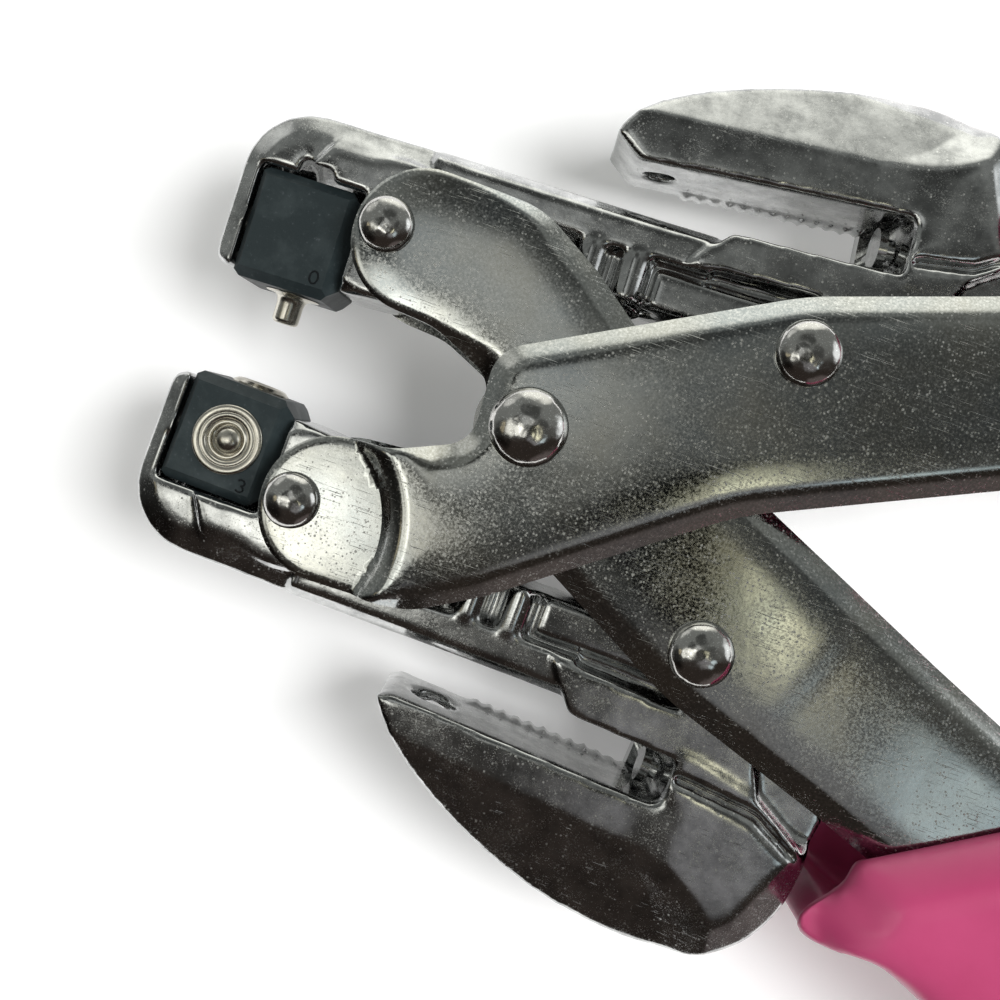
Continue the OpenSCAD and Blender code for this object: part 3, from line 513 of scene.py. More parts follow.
def outer_lift(plan):
    """The outer lever's tab is pressed down to the inner lever's level, with a sharp foot to the step."""
    far = np.hypot(*(plan - STEP_CENTRE).T)
    up = np.clip((far - STEP_R) / STEP_W, 0, 1)
    return -(OUTER_HALF - INNER_HALF) * (1 - up) ** 2 * (1 + 0.35 * up)


def outer_guide():
    """Points on arcs across the step."""
    turn = np.radians(np.arange(-60, 80, 2.0))
    arcs = [STEP_CENTRE + (STEP_R + r) * np.column_stack((np.cos(turn), np.sin(turn)))
            for r in (-0.35, -0.02, 0.25, 0.6, 1.0, 1.5, 2.0, 2.5, 3.0, 3.5)]
    return np.vstack(arcs)


def inner_lift(plan):
    """A shallow curved step is pressed across the inner lever behind its tail rivet."""
    s = plan @ np.array((math.cos(HANDLE_ANGLE), math.sin(HANDLE_ANGLE)))
    t = plan @ np.array((-math.sin(HANDLE_ANGLE), math.cos(HANDLE_ANGLE)))
    return -CREASE_DROP * smoothstep((s + t * t / CREASE_BEND - CREASE_S) / CREASE_W)


def flipped(mesh, y=False, z=False):
    """Mirrors a mesh and keeps its faces outward."""
    if y:
        mesh.transform(Matrix.Scale(-1, 4, (0, 1, 0)))
    if z:
        mesh.transform(Matrix.Scale(-1, 4, (0, 0, 1)))
    if y != z:
        mesh.flip_normals()
    mesh.transform(Matrix.Translation((0, 0, MID_Z * MM)))
    return mesh


def build_levers():
    outline = lever_outline()
    jaw = (JAW_PIVOT.x, -JAW_PIVOT.y)
    pins = (((0, 0), MAIN_D), (jaw, JAW_PIN_D), (tuple(TAIL_PIN), TAIL_PIN_D))
    holes = [(place, width / 2 + HOLE_CLEAR) for place, width in pins]
    kinds = (("lever_a", OUTER_HALF, outer_lift, outer_guide(), ROLL_TAB, False),
             ("lever_b", INNER_HALF, inner_lift, (), ROLL_END, True))
    for lever, underside, lift, guide, narrow, crowned in kinds:
        for face in ("front", "rear"):
            name = f"{lever}_{face}_plate"
            mesh = plate_mesh("pressed_" + name, outline, holes, underside, lift, guide, narrow, crowned)
            flipped(mesh, y=lever == "lever_b", z=face == "rear")
            new_object("pressed_" + name, mesh, lever, name, "nickel_plate")


# Castings and grips: rounded copies of the solids

def rounded_copy(node, voxel, spread, shape=None):
    """A remeshed copy of a node.

    shape moves its points first, and spread gives the number of smoothing passes at each point."""
    source = nodes[node]
    temp = bpy.data.objects.new(node + "_temp", source.data.copy())
    scene.collection.objects.link(temp)
    remesh = temp.modifiers.new("remesh", "REMESH")
    remesh.mode = "VOXEL"
    remesh.voxel_size = voxel * MM
    mesh = bpy.data.meshes.new_from_object(temp.evaluated_get(bpy.context.evaluated_depsgraph_get()))
    bpy.data.objects.remove(temp)
    count = len(mesh.vertices)
    co = np.empty(count * 3)
    mesh.vertices.foreach_get("co", co)
    co = co.reshape(-1, 3)
    if shape:
        shape(co)
    pairs = np.empty(len(mesh.edges) * 2, int)
    mesh.edges.foreach_get("vertices", pairs)
    a, b = pairs.reshape(-1, 2).T
    links = np.bincount(a, minlength=count) + np.bincount(b, minlength=count)
    passes = spread(co / MM)
    most = int(passes.max())
    for i in range(most):
        pull = 0.5 * np.clip(passes - i, 0, 1)
        for axis in range(3):
            near = np.bincount(a, co[b, axis], count) + np.bincount(b, co[a, axis], count)
            co[:, axis] += pull * (near / links - co[:, axis])
    mesh.vertices.foreach_set("co", co.ravel())
    mesh.update()
    mesh.shade_smooth()
    return mesh


CAST_VOXEL = 0.3
CAST_PASSES = 5
NOSE_PASSES = 34
GRIP_VOXEL = 0.6
GRIP_PASSES = 26
# Where a casting is rounded more, in its jaw's own frame, and how much of the nose's rounding it gets there
NOSE_BACK = 1.0
NOSE_TOP = 4.0
NOSE_FRONT = -14.8
NOSE_SHARE = 0.3
ROOT_BEFORE = 6.0
ROOT_LOW = 16.5
ROOT_SHARE = 0.4
RAIL_X = (4.0, 29.0)
RAIL_Y = (7.6, 13.0)
RAIL_SHARE = 0.6
LIP_X = 13.0
LIP_Y = (13.5, 19.0)
LIP_REAR = -3.0
LIP_HOLE_ROOM = 0.5
LIP_SHARE = 0.25


def jaw_coords(side, points):
    """Points of the part, in millimetres, in a jaw's own frame."""
    flip = 1 if side == "upper" else -1
    d = points[:, :2] * (1, flip) - np.array(JAW_PIVOT)
    c, s = math.cos(JAW_TURN), math.sin(JAW_TURN)
    return np.column_stack((d[:, 0] * c + d[:, 1] * s, -d[:, 0] * s + d[:, 1] * c, points[:, 2] - MID_Z))


def rises(value, start, ease=1.0):
    """0 to 1 over an ease that begins at a start."""
    return smoothstep((value - start) / ease)


def falls(value, end, ease=1.0):
    """1 to 0 over an ease that stops at an end."""
    return smoothstep((end - value) / ease)


def jaw_spread(side):
    """Castings are rounded most on the nose's outer corner and round the fin's root."""
    def spread(points):
        x, y, z = jaw_coords(side, points).T
        nose = falls(x, NOSE_BACK, 2) * np.maximum(rises(y, NOSE_TOP, 2), falls(x, NOSE_FRONT, 0.8))
        root = rises(x, THROAT_END[side] - ROOT_BEFORE, 1.5) * rises(y, ROOT_LOW, 1.5)
        rail = rises(x, RAIL_X[0], 2) * falls(x, RAIL_X[1], 2)
        rail *= rises(y, RAIL_Y[0], 1.2) * falls(y, RAIL_Y[1])
        lip = rises(x, LIP_X, 2) * rises(y, LIP_Y[0]) * falls(y, LIP_Y[1])
        # The teeth at the rear and the rim of the die hole stay crisp
        lip *= rises(z, LIP_REAR) * rises(np.abs(x - PUNCH_X[side]), PUNCH_D[side] / 2 + LIP_HOLE_ROOM)
        zones = (NOSE_SHARE * nose, ROOT_SHARE * root, RAIL_SHARE * rail, LIP_SHARE * lip)
        return CAST_PASSES + (NOSE_PASSES - CAST_PASSES) * np.maximum.reduce(zones)
    return spread


# The fin's bevel and root, as in part.scad. In the looks the bevel's rear end ramps up to the root, and the
# root's shoulder slopes less and ends in a plain edge
FIN_HALF = 6.0
ROOT_HALF = 6.4
RIDGE_Y = 18.8
RIDGE_TILT = math.radians(4.5)
BEVEL_SLOPE = math.tan(math.radians(22))
SWEEP_X = {"upper": 41.5, "lower": 38.0}
CREST_Y = {"upper": 29.5, "lower": 31.2}
SHOULDER_W = 5.0
SHOULDER_EDGE = 1.6
HEEL = np.array((50.0, 16.0))
# The shoulder's slanted sides: which way they face, in degrees, and how far they are from the heel
SHOULDER_SIDES = ((52, 14.8), (24, 13.2))
SHOULDER_LOOK = 0.55
ROOT_RISE = 6.0
RAMP_W = 1.0
RAMP_RUN = 1.9


def ridge_at(x):
    return RIDGE_Y + (x - 18) * math.tan(RIDGE_TILT)


def bevel_loop(side):
    """Plan of the fin's outer bevel, closed."""
    x = SWEEP_X[side]
    high = CREST_Y[side] + 4
    low = ridge_at(x + 5)
    a = np.array((x, ridge_at(x)))
    b = np.array((x + 5.5, low))
    c = np.array((x + 10.5, low + 2.6))
    d = np.array((x + 14, high))
    t = np.linspace(0, 1, 17)[:, None]
    sweep = a * (1 - t) ** 3 + 3 * b * t * (1 - t) ** 2 + 3 * c * t * t * (1 - t) + d * t ** 3
    return np.vstack(((0, ridge_at(0)), sweep, (0, high)))


# The nose's outer edge, as in part.scad: its corner, and the slopes of its two rounding planes with their
# starts from the edge. The looks keep the first plane and end it in a plain edge
NOSE_R = 7
NOSE_CORNER = np.array((NOSE_R - 16.3, 9.2 - NOSE_R))
NOSE_HALF = 5.8
NOSE_PLANES = ((24, 2.4), (58, 1.2))


def shape_nose(place, co):
    """Fills the steep part of the nose's rounded outer edge."""
    x, y, z = place.T
    near = np.flatnonzero((x < 2) & (y > -20))
    flat = place[near, :2] - NOSE_CORNER
    out = np.full(len(near), -np.inf)
    for turn in np.radians(np.arange(90, 181, 22.5)):
        out = np.maximum(out, flat @ np.array((math.cos(turn), math.sin(turn))))
    first, steep = [NOSE_HALF - math.tan(math.radians(slope)) * np.clip(out - NOSE_R + start, 0, None)
                    for slope, start in NOSE_PLANES]
    fill = np.where(steep < first, first / np.maximum(steep, 1), 1)
    co[near, 2] = (MID_Z + z[near] * fill) * MM


def shape_jaw(side):
    """Eases the fin's root into its bevel and its outer edge, and the nose's outer edge."""
    def shape(co):
        place = jaw_coords(side, co / MM)
        shape_nose(place, co)
        x, y, z = place.T
        near = np.flatnonzero((x > SWEEP_X[side] - 2) & (y > 15))
        x, y, z = x[near], y[near], z[near]
        level = np.abs(z)
        from_bevel = -distance_to(bevel_loop(side), place[near, :2])
        past = np.full(len(near), -np.inf)
        for turn, reach in ((90, CREST_Y[side] - HEEL[1]),) + SHOULDER_SIDES:
            out = np.array((math.cos(math.radians(turn)), math.sin(math.radians(turn))))
            past = np.maximum(past, (place[near, :2] - HEEL) @ out - (reach - SHOULDER_W))
        edge = ROOT_HALF - (ROOT_HALF - SHOULDER_EDGE) * SHOULDER_LOOK
        eased = np.interp(level, (0, SHOULDER_EDGE, ROOT_HALF), (0, edge, ROOT_HALF))
        level += (past > 0) * smoothstep(from_bevel / 3) * (eased - level)
        rise = smoothstep((x - THROAT_END[side] + 2.6) / ROOT_RISE)
        level = np.where(level > FIN_HALF, FIN_HALF + rise * (level - FIN_HALF), level)
        outward = (y - ridge_at(0)) * math.cos(RIDGE_TILT) - x * math.sin(RIDGE_TILT)
        bevel = FIN_HALF - BEVEL_SLOPE * outward
        wall = np.clip(np.minimum(level, ROOT_HALF) - bevel, 0, None)
        ramp = np.clip(from_bevel / (RAMP_W + RAMP_RUN * wall), 0, 1)
        level = np.where((wall > 0) & (bevel < FIN_HALF), bevel + ramp * (level - bevel), level)
        co[near, 2] = (MID_Z + np.sign(z) * level) * MM
    return shape


# Slanted left sides of the raised panel on the nose and of the raised plate, and the round mark in the web
PANEL_SIDE = ((-9.8, 2.8), (-6.5, 8.8))
PLATE_SIDE = ((29.4, 5.6), (32.6, 10.4))
PANEL_LIFT = 0.17
PANEL_BACK = 3.0
PANEL_LOW = 1.0
PANEL_LEVEL = 5.0
PLATE_LIFT = 0.14
PLATE_BACK = 42.0
PLATE_Y = (5.0, 13.5)
PLATE_LEVEL = 5.6
WEB_LEVEL = (4.0, 5.9)
STEP_EDGE = 0.35
MARK_AT = np.array((25.9, -0.9))
MARK_R = 2.3
MARK_DEPTH = 0.16


def right_of(line, x, y):
    """Distance of points to the right of a line that runs upward."""
    (x0, y0), (x1, y1) = line
    size = math.hypot(x1 - x0, y1 - y0)
    return ((x - x0) * (y1 - y0) - (y - y0) * (x1 - x0)) / size


def press_details(side, mesh):
    """Sharp small steps that the rounding has washed out."""
    co = np.empty(len(mesh.vertices) * 3)
    mesh.vertices.foreach_get("co", co)
    co = co.reshape(-1, 3)
    x, y, z = jaw_coords(side, co / MM).T
    level = np.abs(z)
    panel = smoothstep(right_of(PANEL_SIDE, x, y) / STEP_EDGE + 0.5) * falls(x, PANEL_BACK, STEP_EDGE)
    panel *= rises(level, PANEL_LEVEL, 0.7) * rises(y, PANEL_LOW, 0.5)
    plate = smoothstep(right_of(PLATE_SIDE, x, y) / STEP_EDGE + 0.5) * falls(x, PLATE_BACK, 6)
    plate *= rises(level, PLATE_LEVEL, 0.4) * rises(y, PLATE_Y[0], 0.5) * falls(y, PLATE_Y[1], 0.5)
    far = np.hypot(x - MARK_AT[0], y - MARK_AT[1])
    mark = falls(far, MARK_R, STEP_EDGE) * (level > WEB_LEVEL[0]) * (level < WEB_LEVEL[1])
    co[:, 2] += np.sign(z) * (PANEL_LIFT * panel + PLATE_LIFT * plate - MARK_DEPTH * mark) * MM
    mesh.vertices.foreach_set("co", co.ravel())
    mesh.update()


def build_castings():
    for side in SIDES:
        mesh = rounded_copy(side + "_jaw", CAST_VOXEL, jaw_spread(side), shape_jaw(side))
        press_details(side, mesh)
        new_object(f"cast_{side}_jaw", mesh, side + "_jaw", side + "_jaw", "cast_chrome")


# Front edge of the grip along the handle, by the place across it, and the sloping rim behind that edge
GRIP_ACROSS = (-10.6, 10.6, 13.0, 20.0)
GRIP_EDGE = (68.0, 52.0, 52.8, 50.8)
RIM_W = 4.6
RIM_SLOPE = 0.62
RIM_COVER = 0.4
RIM_PASSES = 7


def behind_edge(lever, points):
    """Distance of points, in millimetres, behind the front edge of a lever's grip, along the handle."""
    flip = 1 if lever == "a" else -1
    c, s = math.cos(HANDLE_ANGLE), math.sin(HANDLE_ANGLE)
    x, y = points[:, 0], flip * points[:, 1]
    return x * c + y * s - np.interp(y * c - x * s, GRIP_ACROSS, GRIP_EDGE)


def shape_grip(lever):
    """Slopes the rim round the grip's mouth, over the lever's sheet."""
    cover = {"a": OUTER_HALF, "b": INNER_HALF}[lever] + SHEET_T + RIM_COVER

    def shape(co):
        z = co[:, 2] / MM - MID_Z
        level = np.abs(z)
        drop = np.clip(RIM_W - behind_edge(lever, co / MM), 0, None) * RIM_SLOPE
        co[:, 2] = (MID_Z + np.sign(z) * np.maximum(np.minimum(level, cover), level - drop)) * MM
    return shape


def grip_spread(lever):
    """The rim's ridge stays crisper than the rest."""
    def spread(points):
        far = smoothstep((behind_edge(lever, points) - RIM_W - 2) / 6)
        return RIM_PASSES + (GRIP_PASSES - RIM_PASSES) * far
    return spread


def build_grips():
    for lever in ("a", "b"):
        mesh = rounded_copy("grip_" + lever, GRIP_VOXEL, grip_spread(lever), shape_grip(lever))
        new_object("moulded_grip_" + lever, mesh, "lever_" + lever, "grip_" + lever, "pink_grip")


# Rivets and turned pieces

def lathe(profile, steps=64):
    """A turned mesh about Z from points (radius, height) that start and end on the axis."""
    bm = bmesh.new()
    turns = [2 * math.pi * i / steps for i in range(steps)]
    rings = []
    for r, z in profile:
        if r < 1e-6:
            rings.append([bm.verts.new((0, 0, z))])
        else:
            rings.append([bm.verts.new((r * math.cos(a), r * math.sin(a), z)) for a in turns])
    for low, high in zip(rings, rings[1:]):
        for i in range(steps):
            j = (i + 1) % steps
            quad = [low[i % len(low)], low[j % len(low)], high[j % len(high)], high[i % len(high)]]
            bm.faces.new(list(dict.fromkeys(quad)))
    mesh = bpy.data.meshes.new("lathe")
    bm.to_mesh(mesh)
    bm.free()
    mesh.shade_smooth()
    return mesh


# The head rises steeply at its rim and has a broad, slightly flattened crown
RIM_POWER = 0.9
CROWN_POWER = 0.85
HEAD_STEPS = 10
HEAD_RIM = 0.12
HEAD_EDGE = 0.05


def rivet_profile(shank_d, head_d, head_h, level, flat_r=0.0):
    """Half section of a rivet from its rear crown to its front crown, about the mid-plane."""
    r = head_d / 2
    turns = np.linspace(0, math.pi / 2, HEAD_STEPS + 1)
    dome = [(r * math.cos(a) ** RIM_POWER, head_h * math.sin(a) ** CROWN_POWER) for a in turns]
    dome[-1] = (0.0, head_h)
    front = [(shank_d / 2, level), (r - HEAD_EDGE, level)]
    front += [(x, level + HEAD_RIM + z * (1 - HEAD_RIM / head_h)) for x, z in dome]
    rear = [(x, -z) for x, z in reversed(front)]
    if flat_r:
        rear = [(x, z) for x, z in rear if x > flat_r or z > -level - 0.5 * head_h]
        rear = [(0.0, -level - head_h), (flat_r, -level - head_h)] + rear
    return rear + front


def build_rivets():
    a = TAIL_PIN
    j = JAW_PIVOT
    low_level = INNER_HALF + SHEET_T
    high_level = OUTER_HALF + SHEET_T
    # Node, place, shank, head's width and height, the sheet's level, flat of the rear head, body
    rivets = (
        ("main_rivet", (0, 0), MAIN_D, 7.8, 2.4, high_level, 1.9, "lever_a"),
        ("upper_jaw_rivet", (j.x, j.y), JAW_PIN_D, 5.6, 1.8, low_level, 0, "lever_b"),
        ("lower_jaw_rivet", (j.x, -j.y), JAW_PIN_D, 5.6, 1.8, low_level, 0, "lever_a"),
        ("upper_tail_rivet", (a.x, a.y), TAIL_PIN_D, 6.6, 2.0, high_level, 0, "lever_a"),
        ("lower_tail_rivet", (a.x, -a.y), TAIL_PIN_D, 6.6, 2.0, low_level, 0, "lever_b"))
    for name, (x, y), shank, head, height, level, flat, body in rivets:
        mesh = lathe(rivet_profile(shank, head, height, level, flat))
        mesh.transform(Matrix.Translation((x * MM, y * MM, MID_Z * MM)) @ Matrix.Scale(MM, 4))
        new_object("headed_" + name, mesh, body, name, "bright_steel")


def die_frame(side, face):
    """Matrix from an insert's own frame, in millimetres, on a block's inner (0) or near (1) face."""
    turn = (math.radians(90), 0.0)[face]
    at = Matrix.Translation((BLOCK_MID, -AXLE_IN, 0)) @ Matrix.Rotation(turn, 4, "X")
    return jaw_frame(side) @ at @ Matrix.Translation((0, 0, BLOCK_W / 2))


INSERT_DEPTH = 0.9
RING_R = 3.55
# Half section of the ring die's face (radius, height), from its rim to the peg in its middle
RING_PROFILE = (
    (RING_R, 0.10), (3.50, 0.18), (3.38, 0.24), (3.2, 0.25), (2.85, 0.24), (2.78, 0.21), (2.7, 0.21),
    (2.62, 0.24), (2.3, 0.22), (2.22, 0.16), (2.15, 0.06), (2.0, 0.03), (1.92, 0.08), (1.85, 0.15),
    (1.75, 0.15), (1.68, 0.08), (1.62, -0.45), (1.5, -0.5), (1.42, -0.3), (1.36, -0.2), (1.26, -0.17),
    (1.2, -0.1), (1.1, 0.0), (0.95, 0.1), (0.75, 0.19), (0.5, 0.25), (0.25, 0.275), (0.0, 0.28))
PIN_R = 1.4
PIN_L = 3.2
PIN_ROUND = 0.5
PIN_SEAT_R = 1.6
# Half section of the pin's collar and foot
PIN_FOOT = (
    (PIN_SEAT_R, 0.02), (2.8, 0.02), (2.86, 0.08), (2.8, 0.14), (1.95, 0.24), (1.62, 0.42), (1.48, 0.7),
    (PIN_R, 1.1))


def build_inserts():
    """The ring die and the setting pin, turned with their fine steps."""
    ring = lathe([(0.0, -INSERT_DEPTH), (RING_R, -INSERT_DEPTH), *RING_PROFILE], 96)
    end = [(PIN_R - PIN_ROUND + PIN_ROUND * math.cos(a), PIN_L - PIN_ROUND + PIN_ROUND * math.sin(a))
           for a in np.linspace(0, math.pi / 2, 7)]
    pin = lathe([(0.0, -INSERT_DEPTH), (PIN_SEAT_R, -INSERT_DEPTH), *PIN_FOOT, *end, (0.0, PIN_L)])
    inserts = (("lower", 1, ring, "lower_ring_die"), ("upper", 0, pin, "upper_setting_pin"))
    for side, face, mesh, node in inserts:
        mesh.set_sharp_from_angle(angle=SHARP_ANGLE)
        mesh.transform(die_frame(side, face))
        new_object("turned_" + node, mesh, side + "_die", node, "die_steel")


# Plain size numbers by a corner of each block's near face
DIGIT_H = 1.25
DIGIT_W = 0.85
DIGIT_LINE = 0.1
DIGIT_AT = {"upper": (2.8, -3.75), "lower": (2.85, 3.9)}


def digit_path(side):
    """Centre line of a nought, or of a three made of two arcs."""
    if side == "upper":
        turns = np.linspace(0, 2 * math.pi, 33)
        return [(DIGIT_W / 2 * math.cos(a), DIGIT_H / 2 * math.sin(a)) for a in turns]
    r = DIGIT_H / 4
    high_turns = np.radians(np.linspace(150, -90, 16))
    low_turns = np.radians(np.linspace(90, -150, 16))
    high = [(r * 1.15 * math.cos(a), r + r * math.sin(a)) for a in high_turns]
    low = [(r * 1.25 * math.cos(a), -r + r * math.sin(a)) for a in low_turns]
    return high + low[1:]


def build_digits():
    for side in SIDES:
        flip = 1 if side == "upper" else -1
        x, y = DIGIT_AT[side]
        mesh = tube([Vector((x + u, y + flip * v, 0.0)) for u, v in digit_path(side)], DIGIT_LINE)
        if flip < 0:
            mesh.flip_normals()
        mesh.transform(die_frame(side, 1))
        new_object(side + "_block_number", mesh, side + "_die", None, "black_oxide", number_ink())


BEVEL_FROM = math.radians(35)
CREASE_FROM = math.radians(30)


def soften(node, width):
    """Fine rounded edges on a CAD node."""
    bevel = nodes[node].modifiers.new("edge", "BEVEL")
    bevel.width = width * MM
    bevel.segments = 2
    bevel.limit_method = "ANGLE"
    bevel.angle_limit = BEVEL_FROM
    nodes[node].data.shade_smooth()
    nodes[node].data.set_sharp_from_angle(angle=CREASE_FROM)


# Part of a turn that lies nearly flat at each end of a spring, and its room at the ends and round the punch
END_TURN = 0.75
SPRING_INSET = 0.05
SPRING_ROOM = 0.1


def build_springs():
    """Wound springs with round wire and closed end turns."""
    for side in SIDES:
        r = (PUNCH_D[side] / 2 + SPRING_ROOM + SPRING_WIRE / 2) / math.cos(math.pi / 8)
        low = SPRING_LOW + SPRING_WIRE / 2 + SPRING_INSET
        high = SPRING_HIGH - SPRING_WIRE / 2 - SPRING_INSET
        turns = SPRING_CURLS + 2 * END_TURN
        steps = int(turns * 24)
        path = []
        for i in range(steps + 1):
            turn = turns * i / steps
            share = min(max((turn - END_TURN) / SPRING_CURLS, 0), 1)
            flat = (min(turn, END_TURN) + max(turn - turns + END_TURN, 0)) / END_TURN
            end = 0.55 * SPRING_WIRE * flat
            y = low + end + (high - low - 1.1 * SPRING_WIRE) * share
            a = 2 * math.pi * turn
            path.append(Vector((PUNCH_X[side] + r * math.cos(a), y, r * math.sin(a))))
        mesh = tube(path, SPRING_WIRE / 2)
        mesh.transform(jaw_frame(side))
        obj = new_object(f"wound_{side}_spring", mesh, side + "_jaw", side + "_punch_spring", "spring_wire")
        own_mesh(obj)


def tube(path, radius, sides=10):
    """A round wire along a path, with closed ends."""
    bm = bmesh.new()
    turns = [2 * math.pi * k / sides for k in range(sides)]
    rings = []
    for i, p in enumerate(path):
        ahead = (path[min(i + 1, len(path) - 1)] - path[max(i - 1, 0)]).normalized()
        up = Vector((0, 1, 0)) if abs(ahead.y) < 0.9 else Vector((1, 0, 0))
        u = ahead.cross(up).normalized()
        w = ahead.cross(u)
        rings.append([bm.verts.new(p + radius * (u * math.cos(a) + w * math.sin(a))) for a in turns])
    for low, high in zip(rings, rings[1:]):
        for k in range(sides):
            m = (k + 1) % sides
            bm.faces.new((low[k], low[m], high[m], high[k]))
    bm.faces.new(rings[0][::-1])
    bm.faces.new(rings[-1])
    bmesh.ops.recalc_face_normals(bm, faces=bm.faces)
    mesh = bpy.data.meshes.new("tube")
    bm.to_mesh(mesh)
    bm.free()
    mesh.shade_smooth()
    return mesh


# Camera, floor and light

PHOTO_SIZE = 1000
# Where the line of sight straight down meets the photo, in its pixels
DOWN_PX = (525, 450)
FOCAL_PX = 1120
CAMERA_UP = 118.0
CAMERA_XY = (0.4, -2.2)
CAMERA_TURN = math.radians(19)
SENSOR = 36.0


def build_camera():
    data = bpy.data.cameras.new("camera")
    data.sensor_width = SENSOR
    data.lens = FOCAL_PX / PHOTO_SIZE * SENSOR
    data.shift_x = 0.5 - DOWN_PX[0] / PHOTO_SIZE
    data.shift_y = DOWN_PX[1] / PHOTO_SIZE - 0.5
    data.clip_start = 0.005
    obj = bpy.data.objects.new("camera", data)
    obj.location = (CAMERA_XY[0] * MM, CAMERA_XY[1] * MM, (MID_Z + CAMERA_UP) * MM)
    obj.rotation_euler = (0, 0, CAMERA_TURN)
    scene.collection.objects.link(obj)
    scene.camera = obj


def photo_direction(right, up, tilt):
    """A direction tilt degrees off straight up, towards a side of the photo."""
    size = math.hypot(right, up)
    flat = Matrix.Rotation(CAMERA_TURN, 2) @ (Vector((right, up)) / size)
    t = math.radians(tilt)
    return Vector((flat.x * math.sin(t), flat.y * math.sin(t), math.cos(t)))


# Soft light patches round the tool: towards (right, up) in the photo, tilt, half width, colour, strength
PATCHES = (
    ((-1.0, -0.05), 15.0, 6.0, (1.0, 1.0, 0.93), 1.5),
    ((-1.0, -0.53), 10.4, 4.0, (1.0, 1.0, 0.93), 1.7),
    ((-1.0, 0.0), 29, 7.5, (1.0, 1.0, 0.92), 1.2),
    ((-1.0, 0.05), 43, 4.0, (1.0, 0.86, 0.55), 0.5),
    ((-0.39, 1.0), 8.8, 7.0, (0.98, 1.0, 0.98), 0.34),
    ((1.0, 0.81), 4.1, 3.6, (1.0, 1.0, 0.94), 0.26),
    ((1.0, -0.52), 14.0, 2.0, (1.0, 0.97, 0.70), 1.0),
    ((1.0, -0.74), 15.9, 2.0, (1.0, 0.97, 0.70), 1.5),
    ((1.0, -0.98), 18.6, 1.8, (1.0, 0.97, 0.74), 0.45),
    ((1.0, -0.85), 28.5, 4.8, (0.80, 0.95, 1.0), 0.9),
    ((0.2, 1.0), 84, 26, (1.0, 1.0, 0.92), 1.2),
    ((0.5, -1.0), 21.5, 8.0, (0.94, 0.95, 1.0), 0.20),
    ((-0.7, 1.0), 70, 14, (1.0, 1.0, 0.96), 0.5),
    ((1.0, 0.05), 72, 16, (0.94, 0.98, 1.0), 1.2),
    ((0.44, -0.9), 80, 20, (1.0, 0.85, 0.85), 0.10),
)
# Darker parts of the base light: towards, tilt, half width, share left
SHADES = (
    ((1.0, 0.14), 22, 9.0, 0.45),
    ((1.0, -0.77), 10.3, 5.0, 0.05),
    ((-0.2, -1.0), 11, 8.0, 0.70),
    ((-0.77, 0.64), 19, 6.0, 0.18),
    ((-1.0, -0.3), 60, 26.0, 0.20),
    ((0.25, 1.0), 26, 14.0, 0.30),
)
# The base light fades from the photo's upper side to its lower side
BASE_UP = (0.22, 0.23, 0.22, 1)
BASE_DOWN = (0.035, 0.028, 0.024, 1)
BASE_FADE = (-0.45, 0.30)
# Shares of its half width between which a patch fades out
PATCH_EDGE = (1.35, 0.45)


def faded(tree, direction, towards, low, high):
    """0 to 1 as a direction's share towards a vector goes from low to high."""
    dot = tree.nodes.new("ShaderNodeVectorMath")
    dot.operation = "DOT_PRODUCT"
    tree.links.new(direction, dot.inputs[0])
    dot.inputs[1].default_value = towards
    fade = tree.nodes.new("ShaderNodeMapRange")
    fade.interpolation_type = "SMOOTHSTEP"
    tree.links.new(dot.outputs["Value"], fade.inputs["Value"])
    fade.inputs["From Min"].default_value = low
    fade.inputs["From Max"].default_value = high
    return fade.outputs[0]


def build_world():
    world = bpy.data.worlds.new("studio")
    scene.world = world
    world.use_nodes = True
    tree = world.node_tree
    tree.nodes.clear()
    direction = tree.nodes.new("ShaderNodeTexCoord").outputs["Generated"]

    def patch_fade(side, tilt, width):
        edges = [math.cos(math.radians(width * share)) for share in PATCH_EDGE]
        return faded(tree, direction, photo_direction(*side, tilt), *edges)

    upward = faded(tree, direction, photo_direction(0, 1, 90), *BASE_FADE)
    total = mixed(tree, upward, BASE_DOWN, BASE_UP)
    for side, tilt, width, left in SHADES:
        dim = mixed(tree, 1.0, total, [left] * 3 + [1], "MULTIPLY")
        total = mixed(tree, patch_fade(side, tilt, width), total, dim)
    for side, tilt, width, colour, strength in PATCHES:
        fade = patch_fade(side, tilt, width)
        patch = mixed(tree, fade, (0, 0, 0, 1), [c * strength for c in colour] + [1])
        total = mixed(tree, 1.0, total, patch, "ADD")
    path = tree.nodes.new("ShaderNodeLightPath")
    total = mixed(tree, path.outputs["Is Camera Ray"], total, (1, 1, 1, 1))
    light = tree.nodes.new("ShaderNodeBackground")
    tree.links.new(total, light.inputs["Color"])
    out = tree.nodes.new("ShaderNodeOutputWorld")
    tree.links.new(light.outputs[0], out.inputs["Surface"])


FLOOR_HALF = 1.5
FLOOR_GAP = 0.0001
FLOOR_COLOUR = (0.90, 0.90, 0.90, 1)
FLOOR_GLOW = 0.16
# Beyond the tool the floor fades to the white of the background
FADE_FROM = 0.20
FADE_TO = 0.80


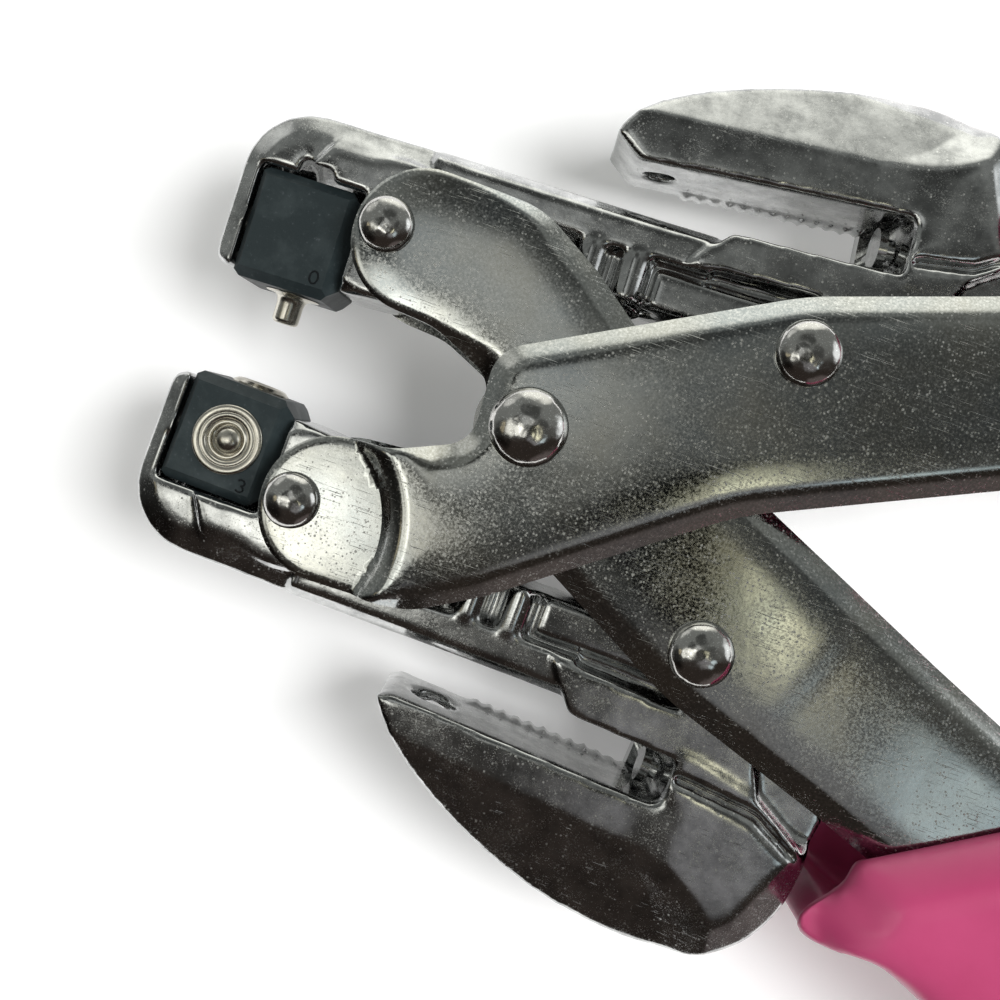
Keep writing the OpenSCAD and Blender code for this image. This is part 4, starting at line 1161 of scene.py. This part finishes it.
def build_floor():
    """A pale floor with the tool's shadow, which fades to white away from the tool."""
    mesh = bpy.data.meshes.new("floor")
    h = FLOOR_HALF
    drop = cad_low[2] - FLOOR_GAP
    mesh.from_pydata([(-h, -h, drop), (h, -h, drop), (h, h, drop), (-h, h, drop)], [], [(0, 1, 2, 3)])
    obj = bpy.data.objects.new("floor", mesh)
    scene.collection.objects.link(obj)
    s = Shader("floor", **{"Base Color": FLOOR_COLOUR, "Roughness": 0.9, "Specular IOR Level": 0.1})
    path = s.node("ShaderNodeLightPath").outputs
    mirrored = s.math("MAXIMUM", path["Is Glossy Ray"], path["Is Transmission Ray"])
    seen = s.math("MAXIMUM", path["Is Camera Ray"], mirrored)
    s.bsdf.inputs["Emission Color"].default_value = (1, 1, 1, 1)
    far = s.node("ShaderNodeVectorMath", {0: s.coord}, operation="LENGTH").outputs["Value"]
    s.link(s.math("MULTIPLY", seen, s.ramp(far, FADE_FROM, FADE_TO, FLOOR_GLOW, 1.0)), "Emission Strength")
    mesh.materials.append(s.material)


# Lamps: towards a side of the photo, tilt, distance, size and power
LAMPS = (
    ("key", (1.0, 0.0), 36, 0.8, 0.40, 7.0),
    ("fill", (-0.6, -1.0), 40, 0.9, 0.6, 2.2),
)
LAMP_AIM = Vector((0.01, 0, 0.01))


def build_lamps():
    """Soft lamps that light the floor and the grips. The metal mirrors the world and not the lamps."""
    for name, side, tilt, distance, size, power in LAMPS:
        data = bpy.data.lights.new(name, "AREA")
        data.energy = power
        data.size = size
        obj = bpy.data.objects.new(name, data)
        d = photo_direction(*side, tilt)
        obj.location = LAMP_AIM + d * distance
        obj.rotation_euler = d.to_track_quat("Z", "Y").to_euler()
        obj.visible_glossy = False
        scene.collection.objects.link(obj)


build_camera()
build_levers()
build_castings()
build_grips()
build_rivets()
build_springs()
for side in SIDES:
    soften(side + "_die_block", 0.12)
    soften(side + "_depth_stop", 0.25)
build_inserts()
build_digits()
for node in ("upper_flat_setter", "lower_peg_anvil"):
    soften(node, 0.05)
build_world()
build_floor()
build_lamps()
scene.view_settings.view_transform = "Standard"
